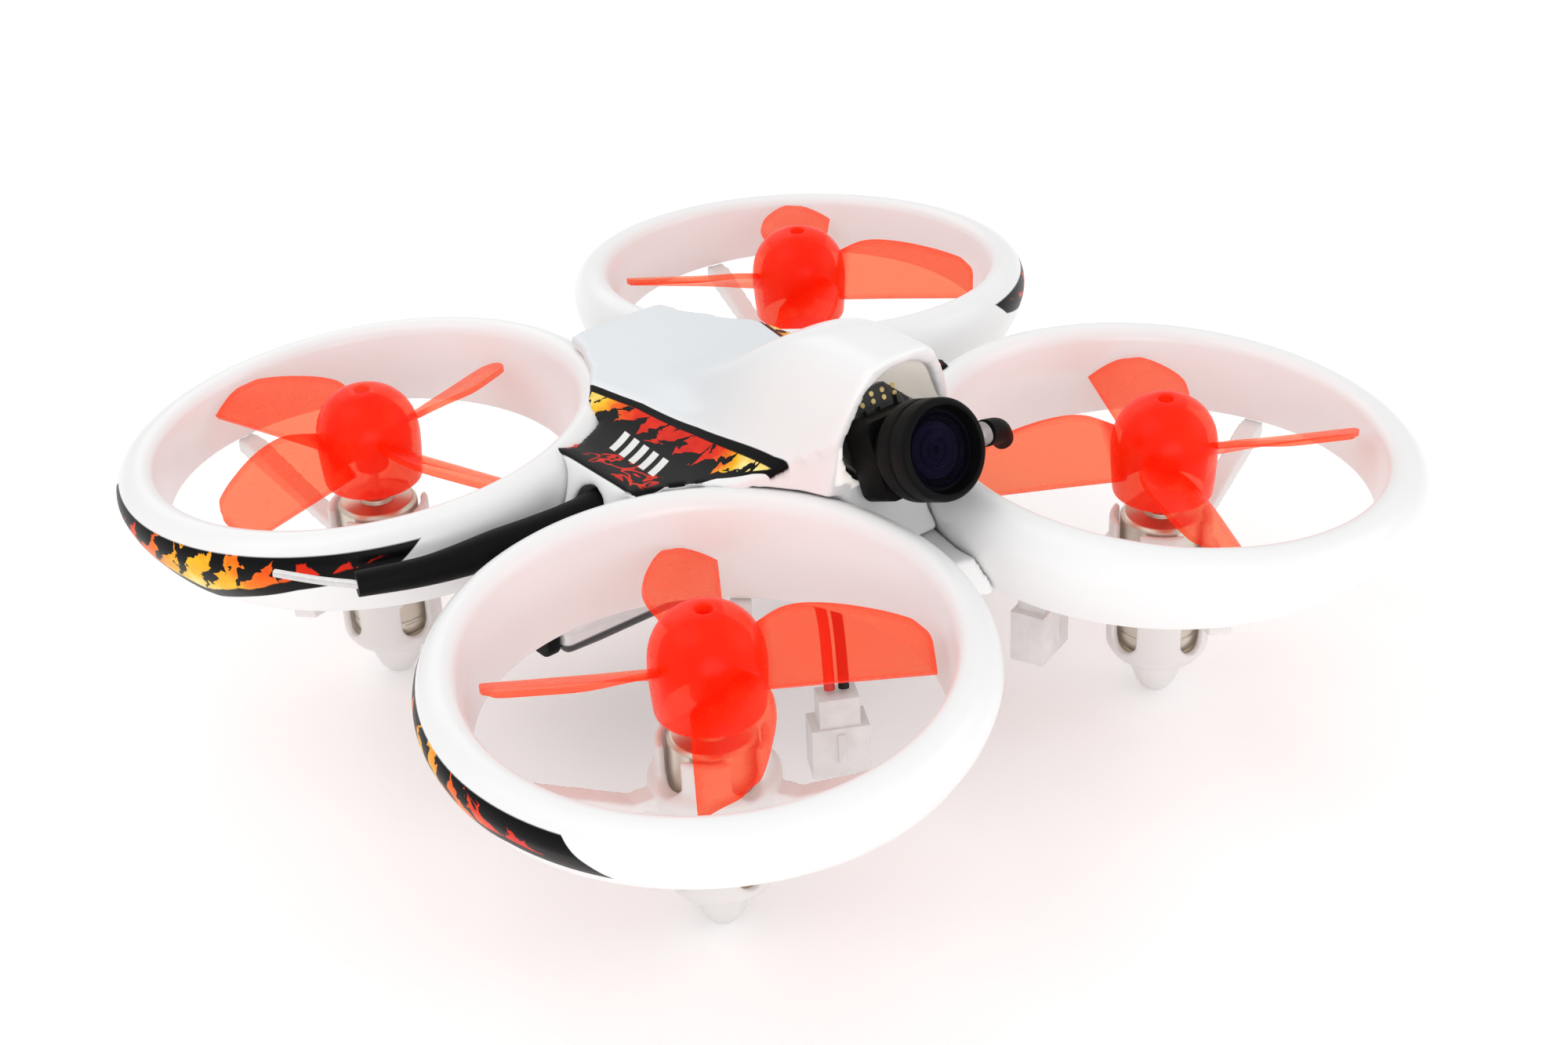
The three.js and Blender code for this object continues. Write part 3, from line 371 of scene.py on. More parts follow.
def make_milky_paint():
    """Cloudy, slightly see-through nylon of the motor sleeves."""
    paint = Paint("sleeve_milky_nylon")
    vector = paint.place()[0]
    cloud = paint.noise(vector, 0.25, 4)
    paint.set(Base_Color=paint.blend(cloud, tint(0.9, 0.88, 0.87), tint(0.95, 0.94, 0.93)),
              Roughness=0.3 + 0.15 * paint.noise(vector, 0.8, 3),
              Normal=paint.bump(paint.noise(vector, 1.1, 3), 0.02),
              Coat_Weight=0.2, Coat_Roughness=0.2)
    return paint.see_through(0.28, tint(0.95, 0.9, 0.89)).material


def make_red_paint():
    """See-through red-orange plastic that is denser along the blades' rims, with a faint painted
    red glow.
    """
    paint = Paint("propeller_clear_red")
    vector = paint.place()[0]
    along, across = paint.sheet()
    rim = across.size().ramp(0.86, 0.97).most(along.ramp(0.965, 0.985))
    cloud = paint.noise(vector, 0.3, 3)
    body = paint.blend(cloud, tint(0.95, 0.01, 0.001), tint(1.0, 0.03, 0.003))
    # Emission Color adds a faint painted red glow, standing in for light passing through the
    # plastic.
    paint.set(Base_Color=paint.blend(rim, body, tint(1.0, 0.02, 0.002)),
              Roughness=0.22 + 0.12 * paint.noise(vector, 0.7, 3), Specular_IOR_Level=0.16,
              Normal=paint.bump(paint.noise(vector, 0.8, 2), 0.003),
              Emission_Color=tint(1.0, 0.01, 0.0), Emission_Strength=0.12)
    blade = along.ramp(0.02, 0.1)
    clear = (0.3 + 0.26 * blade) * (1.0 - 0.15 * rim)
    return paint.see_through(clear, tint(1.0, 0.83, 0.62)).material


def make_black_paint(name, shade=0.003, rough=0.45, grain=1.5, depth=0.008):
    """Black plastic or shrink tube with a fine grain and worn, greyer high spots."""
    paint = Paint(name)
    vector = paint.place()[0]
    wear = paint.noise(vector, 0.5, 4).ramp(0.5, 0.8)
    paint.set(Base_Color=paint.blend(wear, tint(shade, shade, shade * 1.05),
                                     tint(shade * 1.8, shade * 1.8, shade * 1.8)),
              Roughness=rough + 0.15 * paint.noise(vector, 0.9, 3), Specular_IOR_Level=0.1,
              Normal=paint.bump(paint.noise(vector, grain, 3), depth))
    return paint.material


def make_steel_paint(name, colour, rough=0.28, stretch=(0.3, 0.3, 6.0)):
    """Drawn metal: fine streaks round the part and small stains."""
    paint = Paint(name)
    vector = paint.place()[0]
    drawn = paint.stretched(vector, stretch)
    streak = paint.noise(drawn, 1.2, 4)
    darker = tint(*[c * 0.72 for c in colour])
    paint.set(Base_Color=paint.blend(streak, darker, tint(*colour)), Metallic=1.0,
              Roughness=rough + 0.16 * streak, Normal=paint.bump(streak, 0.006))
    return paint.material


def make_wrap_paint():
    """Silver-grey film shrunk over the cell: creases with painted shade and sheen, a soft sheen
    from its coat and a painted shaded underside.
    """
    paint = Paint("battery_silver_wrap")
    vector, _, _, z = paint.place()
    drawn = paint.stretched(vector, (0.35, 1.0, 1.4))
    crease = paint.noise(drawn, 0.35, 5, 0.8)
    fine = paint.noise(drawn, 1.6, 4)
    # Painted shade and sheen: the film is darker in the hollows of the crease relief and lighter on
    # its ridges, following the same noise as the bump.
    film = paint.blend(crease.ramp(0.3, 0.7), tint(0.7, 0.69, 0.69), tint(0.88, 0.87, 0.87))
    # Painted shade: the film turns nearly black below a height of about 16 mm, standing in for the
    # shadow under the cell.
    paint.set(Base_Color=paint.blend(z.ramp(16.3, 16.0), film, tint(0.03, 0.028, 0.03)),
              Metallic=0.15, Roughness=0.24 + 0.2 * fine,
              Normal=paint.bump(crease + fine * 0.25, 0.22), Coat_Weight=0.4, Coat_Roughness=0.15)
    return paint.material


def make_board_paint():
    """Black solder mask with buried tracks and a weave under it."""
    paint = Paint("board_black_mask")
    vector, x, y, _ = paint.place()
    threads = [(line * 2.2).whole_left().ramp(0.4, 0.6) * 0.5 for line in (x, y)]
    weave = threads[0] + threads[1]
    tracks = ((x + y) * 0.55).whole_left().ramp(0.78, 0.82)
    tracks = tracks * paint.noise(vector, 0.3, 1).ramp(0.45, 0.5)
    base = paint.blend(weave, tint(0.012, 0.013, 0.014), tint(0.02, 0.021, 0.022))
    paint.set(Base_Color=paint.blend(tracks, base, tint(0.045, 0.045, 0.04)),
              Roughness=0.32 + 0.15 * paint.noise(vector, 1.0, 3),
              Normal=paint.bump(tracks + weave * 0.3, 0.02), Coat_Weight=0.2, Coat_Roughness=0.25)
    return paint.material


def make_plain_paint(name, colour, second, rough=0.35, metallic=0.0, coat=0.0, bump=0.01,
                     scale=0.8):
    """Two close shades clouded together, with a fine grain."""
    paint = Paint(name)
    vector = paint.place()[0]
    cloud = paint.noise(vector, scale, 3)
    paint.set(Base_Color=paint.blend(cloud, tint(*colour), tint(*second)), Metallic=metallic,
              Roughness=rough + 0.1 * paint.noise(vector, scale * 2.0, 3),
              Normal=paint.bump(paint.noise(vector, scale * 2.5, 3), bump),
              Coat_Weight=coat, Coat_Roughness=0.1)
    return paint.material


def make_clear_paint(name, colour, film, share, rough=0.06, gloss=0.5):
    """Clear film or glass: gloss over a tinted see-through layer."""
    paint = Paint(name)
    vector = paint.place()[0]
    paint.set(Base_Color=paint.blend(paint.noise(vector, 0.6, 3), tint(*colour),
                                     tint(*[c * 0.8 for c in colour])),
              Roughness=rough + 0.03 * paint.noise(vector, 0.8, 2), Specular_IOR_Level=gloss,
              Coat_Weight=gloss * 0.6, Coat_Roughness=0.03)
    return paint.see_through(share, tint(*film)).material


# ---- Piece making

def finish_piece(name, bm, material, body, nodes=(), at=(0, 0, 0), turn=None, crease=35,
                 normals=True):
    """Turns a bmesh in millimetres into a piece in place, riding on a body."""
    if normals:
        bmesh.ops.recalc_face_normals(bm, faces=bm.faces)
    place = Matrix.Diagonal((MM, MM, MM, 1)) @ Matrix.Translation(at) @ (turn or Matrix.Identity(4))
    bmesh.ops.transform(bm, matrix=place, verts=bm.verts)
    for face in bm.faces:
        face.smooth = True
    for line in bm.edges:
        if len(line.link_faces) == 2 and line.calc_face_angle(0) > radians(crease):
            line.smooth = False
    mesh = bpy.data.meshes.new(name)
    bm.to_mesh(mesh)
    bm.free()
    piece = bpy.data.objects.new(name, mesh)
    bpy.context.scene.collection.objects.link(piece)
    mesh.materials.append(material)
    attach(piece, body)
    if nodes:
        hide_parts(*nodes)
    return piece


def rounded(points, radius, closed=True, steps=3):
    """Replaces each corner of an outline with a short curve."""
    count = len(points)
    line = []
    for i, point in enumerate(points):
        if not closed and i in (0, count - 1):
            line.append(Vector(point))
            continue
        here, before, after = (Vector(points[k % count]) for k in (i, i - 1, i + 1))
        reach = min(radius, (before - here).length * 0.48, (after - here).length * 0.48)
        start = here + (before - here).normalized() * reach
        end = here + (after - here).normalized() * reach
        for k in range(steps + 1):
            t = k / steps
            line.append(start.lerp(here, t).lerp(here.lerp(end, t), t))
    return line


def lathe(outline, segments, closed=True):
    """Spins a (radius, height) outline about Z."""
    bm = bmesh.new()
    verts = [bm.verts.new((radius, 0, height)) for radius, height in outline]
    pairs = list(zip(verts, verts[1:])) + ([(verts[-1], verts[0])] if closed else [])
    lines = [bm.edges.new(pair) for pair in pairs]
    bmesh.ops.spin(bm, geom=verts + lines, axis=(0, 0, 1), cent=(0, 0, 0), angle=2 * pi,
                   steps=segments, use_merge=True)
    bmesh.ops.remove_doubles(bm, verts=bm.verts, dist=1e-4)
    return bm


def add(whole, part):
    """Joins one bmesh to another and frees it."""
    mesh = bpy.data.meshes.new("work")
    part.to_mesh(mesh)
    part.free()
    whole.from_mesh(mesh)
    bpy.data.meshes.remove(mesh)


def scratch(bm):
    """Moves a bmesh into a scratch object that modifiers can work on."""
    bmesh.ops.recalc_face_normals(bm, faces=bm.faces)
    mesh = bpy.data.meshes.new("work")
    bm.to_mesh(mesh)
    bm.free()
    work = bpy.data.objects.new("work", mesh)
    bpy.context.scene.collection.objects.link(work)
    return work


def cut_away(body, cutters):
    """Returns the first bmesh with the second cut out of it."""
    work, tool = scratch(body), scratch(cutters)
    knife = work.modifiers.new("cut", "BOOLEAN")
    knife.operation, knife.solver, knife.object = "DIFFERENCE", "EXACT", tool
    return applied(work, tool)


def applied(work, *others):
    """Applies a scratch object's modifiers and removes it and its helpers."""
    graph = bpy.context.evaluated_depsgraph_get()
    bm = bmesh.new()
    bm.from_mesh(work.evaluated_get(graph).to_mesh())
    for spent in (work, *others):
        mesh = spent.data
        bpy.data.objects.remove(spent)
        bpy.data.meshes.remove(mesh)
    return bm


def moulded(bm, voxel, rounds):
    """Makes one skin of overlapping solids and softens its corners, as a moulding has them."""
    work = scratch(bm)
    skin = work.modifiers.new("skin", "REMESH")
    skin.mode, skin.voxel_size, skin.adaptivity = "VOXEL", voxel, 0.0
    ease = work.modifiers.new("ease", "SMOOTH")
    ease.factor, ease.iterations = 0.5, rounds
    return applied(work)


def copy_of(node):
    """A merged copy of a CAD node's mesh, in millimetres."""
    bm = bmesh.new()
    bm.from_mesh(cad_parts[node].data)
    bmesh.ops.remove_doubles(bm, verts=bm.verts, dist=2e-6)
    bmesh.ops.scale(bm, vec=(1 / MM,) * 3, verts=bm.verts)
    return bm


def soften(bm, edges, width, segments, clamp=False):
    """Bevels edges to a round of a given width."""
    bmesh.ops.bevel(bm, geom=edges, offset=width, offset_type="OFFSET", segments=segments,
                    profile=0.5, affect="EDGES", clamp_overlap=clamp, material=-1)


def eased(node, width, segments=2):
    """A copy of a CAD node with its flat faces joined and its corners bevelled."""
    bm = copy_of(node)
    bmesh.ops.dissolve_limit(bm, angle_limit=radians(2), verts=bm.verts, edges=bm.edges)
    sharp = [e for e in bm.edges
             if len(e.link_faces) == 2 and e.calc_face_angle(0) > radians(30)]
    soften(bm, sharp, width, segments, clamp=True)
    return bm


def only(geometry, kind):
    """The parts of an operator's result that are of one kind."""
    return [part for part in geometry if isinstance(part, kind)]


def slab(bm, outline, depth):
    """Adds a flat outline in XY, thickened evenly about Z = 0."""
    face = bm.faces.new([bm.verts.new((x, y, -depth / 2)) for x, y in outline])
    pushed = bmesh.ops.extrude_face_region(bm, geom=[face])["geom"]
    bmesh.ops.translate(bm, vec=(0, 0, depth), verts=only(pushed, bmesh.types.BMVert))
    bmesh.ops.recalc_face_normals(bm, faces=bm.faces)


def box(bm, size, centre):
    """Adds a box to a bmesh."""
    place = Matrix.Translation(centre) @ Matrix.Diagonal((*size, 1))
    bmesh.ops.create_cube(bm, size=1.0, matrix=place)


def between(t, start, end, slope0, slope1):
    """The cubic that leaves start with one slope and reaches end with the other."""
    return ((2 * t ** 3 - 3 * t * t + 1) * start + (t ** 3 - 2 * t * t + t) * slope0
            + (3 * t * t - 2 * t ** 3) * end + (t ** 3 - t * t) * slope1)


def bent(points, share):
    """A smooth curve through the points, read at a share of its knots."""
    last = len(points) - 1
    k = min(int(share * last), last - 1)
    t = share * last - k
    p1, p2 = points[k], points[k + 1]
    p0 = points[k - 1] if k else 2 * p1 - p2
    p3 = points[k + 2] if k + 2 <= last else 2 * p2 - p1
    a, b, c = ((q - p).length ** 0.5 for p, q in ((p0, p1), (p1, p2), (p2, p3)))
    slope1 = ((p1 - p0) / a - (p2 - p0) / (a + b) + (p2 - p1) / b) * b
    slope2 = ((p2 - p1) / b - (p3 - p1) / (b + c) + (p3 - p2) / c) * b
    return between(t, p1, p2, slope1, slope2)


def dished(centre, inwards, radius, depth):
    """Centres and radii of the rings inside a tube's open end, from its floor to its lip."""
    turns = [pi / 8 * k for k in range(4)]
    return ([centre + inwards * radius * depth * (1 - sin(turn)) for turn in turns],
            [radius * (1 - depth + depth * sin(turn)) for turn in turns])


def tube(name, points, radii, material, body, nodes=(), sides=28, caps=0.2):
    """A tube of changing radius through the points, its ends dished by a share of the radius."""
    steps = 40
    places = [Vector(p) for p in points]
    centres = [bent(places, k / steps) for k in range(steps + 1)]
    sizes = []
    for k in range(steps + 1):
        at = k / steps * (len(radii) - 1)
        low = min(int(at), len(radii) - 2)
        sizes.append(radii[low] + (radii[low + 1] - radii[low]) * (at - low))
    first = (centres[1] - centres[0]).normalized()
    last = (centres[-1] - centres[-2]).normalized()
    front, front_sizes = dished(centres[0], first, sizes[0], caps)
    back, back_sizes = dished(centres[-1], -last, sizes[-1], caps)
    centres[0], centres[-1] = front[0], back[0]
    centres = front + centres + back[::-1]
    sizes = front_sizes + sizes + back_sizes[::-1]

    across, rings = first.orthogonal().normalized(), []
    for k, centre in enumerate(centres):
        along = (centres[min(k + 1, len(centres) - 1)] - centres[max(k - 1, 0)]).normalized()
        across = (across - along * across.dot(along)).normalized()
        turn = Matrix((across.cross(along), across, along)).transposed().to_4x4()
        rings.append(Matrix.Translation(centre) @ turn @ Matrix.Scale(sizes[k], 4))
    bm = bmesh.new()
    bmesh.ops.create_circle(bm, cap_ends=True, segments=sides, radius=1.0, matrix=rings[0])
    rim = list(bm.edges)
    for here, there in zip(rings, rings[1:]):
        pushed = bmesh.ops.extrude_edge_only(bm, edges=rim)["geom"]
        rim = [e for e in only(pushed, bmesh.types.BMEdge) if e.is_boundary]
        bmesh.ops.transform(bm, matrix=there @ here.inverted(),
                            verts=only(pushed, bmesh.types.BMVert))
    bmesh.ops.contextual_create(bm, geom=rim)
    return finish_piece(name, bm, material, body, nodes, crease=50)


def eased_line(stops, place):
    """A smooth curve through (place, height) stops, read at one place."""
    places = [p for p, _ in stops]
    k = max(i for i in range(len(stops) - 1) if places[i] <= place or i == 0)
    (x0, y0), (x1, y1) = stops[k], stops[k + 1]
    before = stops[k - 1] if k else (2 * x0 - x1, 2 * y0 - y1)
    after = stops[k + 2] if k + 2 < len(stops) else (2 * x1 - x0, 2 * y1 - y0)
    slope0 = (y1 - before[1]) / (x1 - before[0])
    slope1 = (after[1] - y0) / (after[0] - x0)
    span = x1 - x0
    t = min(max((place - x0) / span, 0), 1)
    return between(t, y0, y1, span * slope0, span * slope1)


# ---- Ducts

def drooped(bm, sx, sy):
    """Tips the lip outwards and down while the lower edge stays level."""
    for vert in bm.verts:
        outward = (vert.co.x * sx + vert.co.y * sy) / 2 ** 0.5
        share = min(max((vert.co.z - DUCT_BASE) / DUCT_HEIGHT, 0), 1)
        vert.co.z -= outward * tan(DUCT_DROOP) * share


def make_duct(name, sx, sy, paint):
    """Inner wall, rolled lip and outer skirt as one section, with flat coordinates outside."""
    wall, outer, foot = 0.8, LIP_INNER + LIP_WIDTH, DUCT_BORE + 2.4
    inner, crest = LIP_INNER, DUCT_CREST
    outline = [
        (DUCT_BORE, DUCT_BASE), (DUCT_BORE + 0.2, DUCT_BASE + 5), (inner, crest - 1.0),
        (inner + 0.12 * LIP_WIDTH, crest - 0.35), (inner + 0.36 * LIP_WIDTH, crest + 0.05),
        (inner + 0.72 * LIP_WIDTH, crest - 0.55), (inner + 0.95 * LIP_WIDTH, crest - 2.0),
        (outer, crest - 3.5), (outer - 0.7, crest - 5.9), (foot, DUCT_BASE),
        (foot - wall, DUCT_BASE), (outer - 0.7 - wall, crest - 5.7), (outer - wall, crest - 3.6),
        (outer - 1.4, crest - 2.1), (outer - 2.8, crest - 1.3), (inner + 0.9, crest - 1.8),
        (DUCT_BORE + wall, DUCT_BASE),
    ]
    bm = lathe(rounded(outline, 1.1, steps=4), 144)
    flat = bm.loops.layers.uv.new("sheet")
    lip_top = LIP_INNER + 0.3 * LIP_WIDTH
    for face in bm.faces:
        middle = face.calc_center_median()
        radius = hypot(middle.x, middle.y)
        leaning = radius - (foot + (outer - foot) * min((middle.z - DUCT_BASE) / 5.5, 1))
        outside = leaning > -0.5 if middle.z < DUCT_CREST - 1.9 else radius > lip_top
        facing = degrees(atan2(-middle.y * sy, middle.x * sx))
        for loop in face.loops:
            x, y, z = loop.vert.co
            turn = degrees(atan2(-y * sy, x * sx))
            turn += 360 * ((turn < facing - 180) - (turn > facing + 180))
            loop[flat].uv = (turn, (z - DUCT_BASE) / DUCT_HEIGHT) if outside else (0, -1)
    drooped(bm, sx, sy)
    finish_piece(f"duct_shell_{name}", bm, paint, "frame", [f"duct_{name}"],
                 at=(sx * ARM, sy * ARM, 0), crease=60)


# ---- Propellers

# Along the reach, 0 to 1: the front edge as a share of the chord, and the twist as a share of
# the pitch.
LEAD = [(0.2, 0.44), (0.36, 0.66), (0.54, 0.69), (0.76, 0.57), (0.92, 0.42), (1.0, 0.28)]
TWIST = [(0.2, 1.3), (0.36, 1.15), (0.54, 1.0), (0.76, 0.95), (0.92, 0.9), (1.0, 0.9)]
TRAIL = -0.28                 # the straight rear edge
PITCH, BLADE_ROOT, BLADE_LIFT, BLADE_WALL = radians(28), 0.215, 5.2, 0.62


def blade(spin):
    """One blade along +X, from inside the hub's wall to its clipped tip."""
    bm = bmesh.new()
    flat = bm.loops.layers.uv.new("sheet")
    bmesh.ops.create_grid(bm, x_segments=36, y_segments=20, size=1.0)
    for face in bm.faces:
        for loop in face.loops:
            loop[flat].uv = ((loop.vert.co.x + 1) / 2, loop.vert.co.y)
    for vert in bm.verts:
        along, across = (vert.co.x + 1) / 2, vert.co.y
        at = BLADE_ROOT + (1.0 - BLADE_ROOT) * along
        lead = eased_line(LEAD, at)
        u = BLADE_CHORD * ((lead + TRAIL) / 2 + across * (lead - TRAIL) / 2)
        half = BLADE_CHORD * (lead - TRAIL) / 2
        angle = PITCH * eased_line(TWIST, at)
        camber = 0.1 * half * (1 - across * across)
        reach = at * BLADE_REACH - 0.55 * max(along - 0.9, 0) * 10 * max(across, 0) ** 3
        forward = u * cos(angle) - camber * sin(angle)
        rise = u * sin(angle) + camber * cos(angle)
        vert.co = Vector((reach, spin * forward, HUB_BASE + BLADE_LIFT + rise))
    bmesh.ops.recalc_face_normals(bm, faces=bm.faces)
    turned_down = [f for f in bm.faces if f.normal.z < 0]
    if len(turned_down) > len(bm.faces) / 2:
        bmesh.ops.reverse_faces(bm, faces=bm.faces)
    bmesh.ops.solidify(bm, geom=bm.faces, thickness=BLADE_WALL)
    return bm


def make_propeller(name, sx, sy, spin, turn, paint):
    """A hollow domed hub with a bore boss, and its blades."""
    top, base, radius, wall = HUB_TOP, HUB_BASE + 1.0, HUB_RADIUS, 0.9
    inner = radius - wall
    outline = [
        (0.8, top - 0.12), (1.0, top - 0.02), (0.33 * radius, top - 0.12),
        (0.6 * radius, top - 0.75), (0.82 * radius, top - 1.95), (0.95 * radius, top - 3.4),
        (radius, top - 5.2), (0.985 * radius, base + 3.0), (0.94 * radius, base),
        (0.94 * radius - wall, base), (inner, top - 5.3), (0.9 * inner, top - 3.4),
        (0.6 * inner, top - 1.9), (1.9, top - 1.4), (1.7, base + 1.2), (0.8, base + 1.2),
    ]
    hub = lathe(rounded(outline, 0.7), 72)
    hub.loops.layers.uv.new("sheet")
    bmesh.ops.recalc_face_normals(hub, faces=hub.faces)
    whole = bmesh.new()
    add(whole, hub)
    for i in range(BLADE_COUNT):
        one = blade(spin)
        bmesh.ops.rotate(one, cent=(0, 0, 0), verts=one.verts,
                         matrix=Matrix.Rotation(radians(turn) + i * 2 * pi / BLADE_COUNT, 3, "Z"))
        add(whole, one)
    finish_piece(f"propeller_moulding_{name}", whole, paint, f"propeller_{name}",
                 [f"propeller_{name}"], at=(sx * ARM, sy * ARM, 0), crease=50, normals=False)


# ---- Motors and sleeves

def round_slot(length, middle, turn):
    """A round-ended cutter through the sleeve's wall, upright round a height."""
    half = 1.6
    reach = length / 2 - half
    outline = [(half * cos(pi * (k + first) / 16), side * reach + half * sin(pi * (k + first) / 16))
               for first, side in ((0, 1), (16, -1)) for k in range(17)]
    slot = bmesh.new()
    slab(slot, outline, 5)
    place = (Matrix.Translation((0, 0, middle)) @ Matrix.Rotation(turn, 4, "Z")
             @ Matrix.Translation((5.6, 0, 0)) @ Matrix.Rotation(pi / 2, 4, "Y")
             @ Matrix.Rotation(pi / 2, 4, "Z"))
    bmesh.ops.transform(slot, matrix=place, verts=slot.verts)
    return slot


def make_sleeve(name, sx, sy, spokes, paint):
    """Cone foot, windowed tube, collar and spokes, moulded as one."""
    bore, outer, collar = 4.5, 5.3, 6.2
    floor, top, collar_top = MOTOR_BASE - 0.9, MOTOR_TOP - 0.4, MOTOR_TOP - 3.9
    collar_base = collar_top - 3.6
    outline = [
        (0, 0.02), (1.2, 0.02), (2.0, 1.0), (3.3, 4.4), (outer - 0.9, floor + 0.1),
        (outer, floor + 1.4), (outer, collar_base), (collar, collar_base + 0.8),
        (collar, collar_top - 0.5), (collar - 0.6, collar_top), (outer, collar_top),
        (outer, top), (bore, top), (bore, floor + 0.6), (0, floor + 0.6),
    ]
    cutters = bmesh.new()
    for i in range(4):
        for length, middle in ((9.0, MOTOR_TOP), (5.0, floor + 4.4)):
            add(cutters, round_slot(length, middle, i * pi / 2))
    whole = cut_away(lathe(rounded(outline, 0.25, closed=False, steps=2), 64, False), cutters)
    foot, root = DUCT_BASE - GAP, collar_base + 1.0
    side = [(outer - 0.4, root), (collar + 2, root + 0.2), (DUCT_BORE + 0.8, foot - 1.5),
            (DUCT_BORE + 0.8, foot), (DUCT_BORE - 1.2, foot), (collar + 2, root + 1.5),
            (outer - 0.4, root + 1.6)]
    inward = Vector((-sx, -sy)).angle_signed(Vector((1, 0)))
    for spoke in spokes:
        arm = bmesh.new()
        slab(arm, side, 2.2)
        for turn in (Matrix.Rotation(pi / 2, 3, "X"),
                     Matrix.Rotation(inward + sx * sy * radians(spoke), 3, "Z")):
            bmesh.ops.rotate(arm, cent=(0, 0, 0), verts=arm.verts, matrix=turn)
        add(whole, arm)
    finish_piece(f"sleeve_moulding_{name}", moulded(whole, 0.24, 4), paint, "frame",
                 [f"motor_sleeve_{name}"], at=(sx * ARM, sy * ARM, 0), crease=70,
                 normals=False)


def make_motor(name, sx, sy, steel, beige):
    """A drawn can with a bearing boss, its end cap and the shaft that turns with the hub."""
    radius, bottom, top = MOTOR_RADIUS, MOTOR_BASE + 1.2, MOTOR_TOP
    place = (sx * ARM, sy * ARM, 0)
    can = [(0.8, bottom), (radius, bottom), (radius, bottom + 1.0),
           (radius - 0.08, bottom + 1.1), (radius - 0.08, bottom + 1.4), (radius, bottom + 1.5),
           (radius, top - 0.4), (radius - 0.4, top), (1.8, top), (1.8, top + 0.5),
           (0.8, top + 0.5)]
    finish_piece(f"motor_can_drawn_{name}", lathe(rounded(can, 0.12, steps=2), 64), steel,
                 "frame", [f"motor_can_{name}"], at=place)
    cap = [(0, MOTOR_BASE), (radius - 0.5, MOTOR_BASE), (radius - 0.1, MOTOR_BASE + 0.4),
           (radius - 0.1, MOTOR_BASE + 0.9), (0, MOTOR_BASE + 0.9)]
    cap = lathe(rounded(cap, 0.15, closed=False, steps=2), 48, False)
    finish_piece(f"motor_end_cap_{name}", cap, beige, "frame",
                 [f"motor_cap_{name}"], at=place)
    low, high = MOTOR_BASE + 1.8, MOTOR_TOP + 7.5
    shaft = [(0, low), (0.42, low), (0.5, low + 0.1), (0.5, high - 0.12), (0.4, high), (0, high)]
    finish_piece(f"prop_shaft_ground_{name}", lathe(shaft, 24, False), steel,
                 f"propeller_{name}", [f"prop_shaft_{name}"], at=place)


# ---- Shell and deck

def shell_height(x, y):
    """Top surface: a flat panel, scooped shoulders and a hood that swells towards the nose."""
    t = min(max((HOOD_END - y) / (HOOD_END - HOOD_FRONT), 0), 1)
    swell = t * t * (3 - 2 * t)
    width = HOOD_HALF * (0.7 + 0.3 * swell)
    bell = 1 / (1 + (abs(x) / width) ** 4.5)
    if y <= CORNER_Y:
        panel = PANEL_FRONT + (y + CORNER_Y) / (2 * CORNER_Y) * (PANEL_CORNER - PANEL_FRONT)
    else:
        back = (y - CORNER_Y) / (TAIL_Y - CORNER_Y)
        panel = PANEL_CORNER - back * (PANEL_CORNER - PANEL_TAIL)
    out = min(max((abs(x) - panel) / (SHELL_SIDE - panel), 0), 1.2)
    return PANEL + HOOD_HEIGHT * swell * bell - 0.9 * out - 1.3 * sin(pi * min(out, 1))


def shell_lean(x, y):
    """The top surface's normal."""
    step = 0.05
    dx = (shell_height(x + step, y) - shell_height(x - step, y)) / (2 * step)
    dy = (shell_height(x, y + step) - shell_height(x, y - step)) / (2 * step)
    return Vector((-dx, -dy, 1)).normalized()


def divided(bm, longest):
    """Splits edges until the faces are small triangles."""
    for _ in range(4):
        long = [e for e in bm.edges if e.calc_length() > longest]
        if long:
            bmesh.ops.subdivide_edges(bm, edges=long, cuts=1, use_grid_fill=False)
            bmesh.ops.triangulate(bm, faces=[f for f in bm.faces if len(f.verts) > 3])
    bm.normal_update()


def thickened(bm, wall):
    """Gives the thin flanks beside the hood's opening a real wall, inwards."""
    bm.normal_update()
    skin, thin, opening = BVHTree.FromBMesh(bm), [], Vector((0, -8, 31))
    for vert in bm.verts:
        x, y, z = vert.co
        flank = 6 < abs(x) < 12 and -21 < y < -13 and z > 32.5
        if flank and vert.normal.dot(opening - vert.co) > 0:
            depth = skin.ray_cast(vert.co - vert.normal * 0.005, -vert.normal, 1.0)[3]
            if depth is not None and depth < wall:
                thin.append((vert, vert.normal * (wall - depth)))
    for vert, shift in thin:
        vert.co += shift


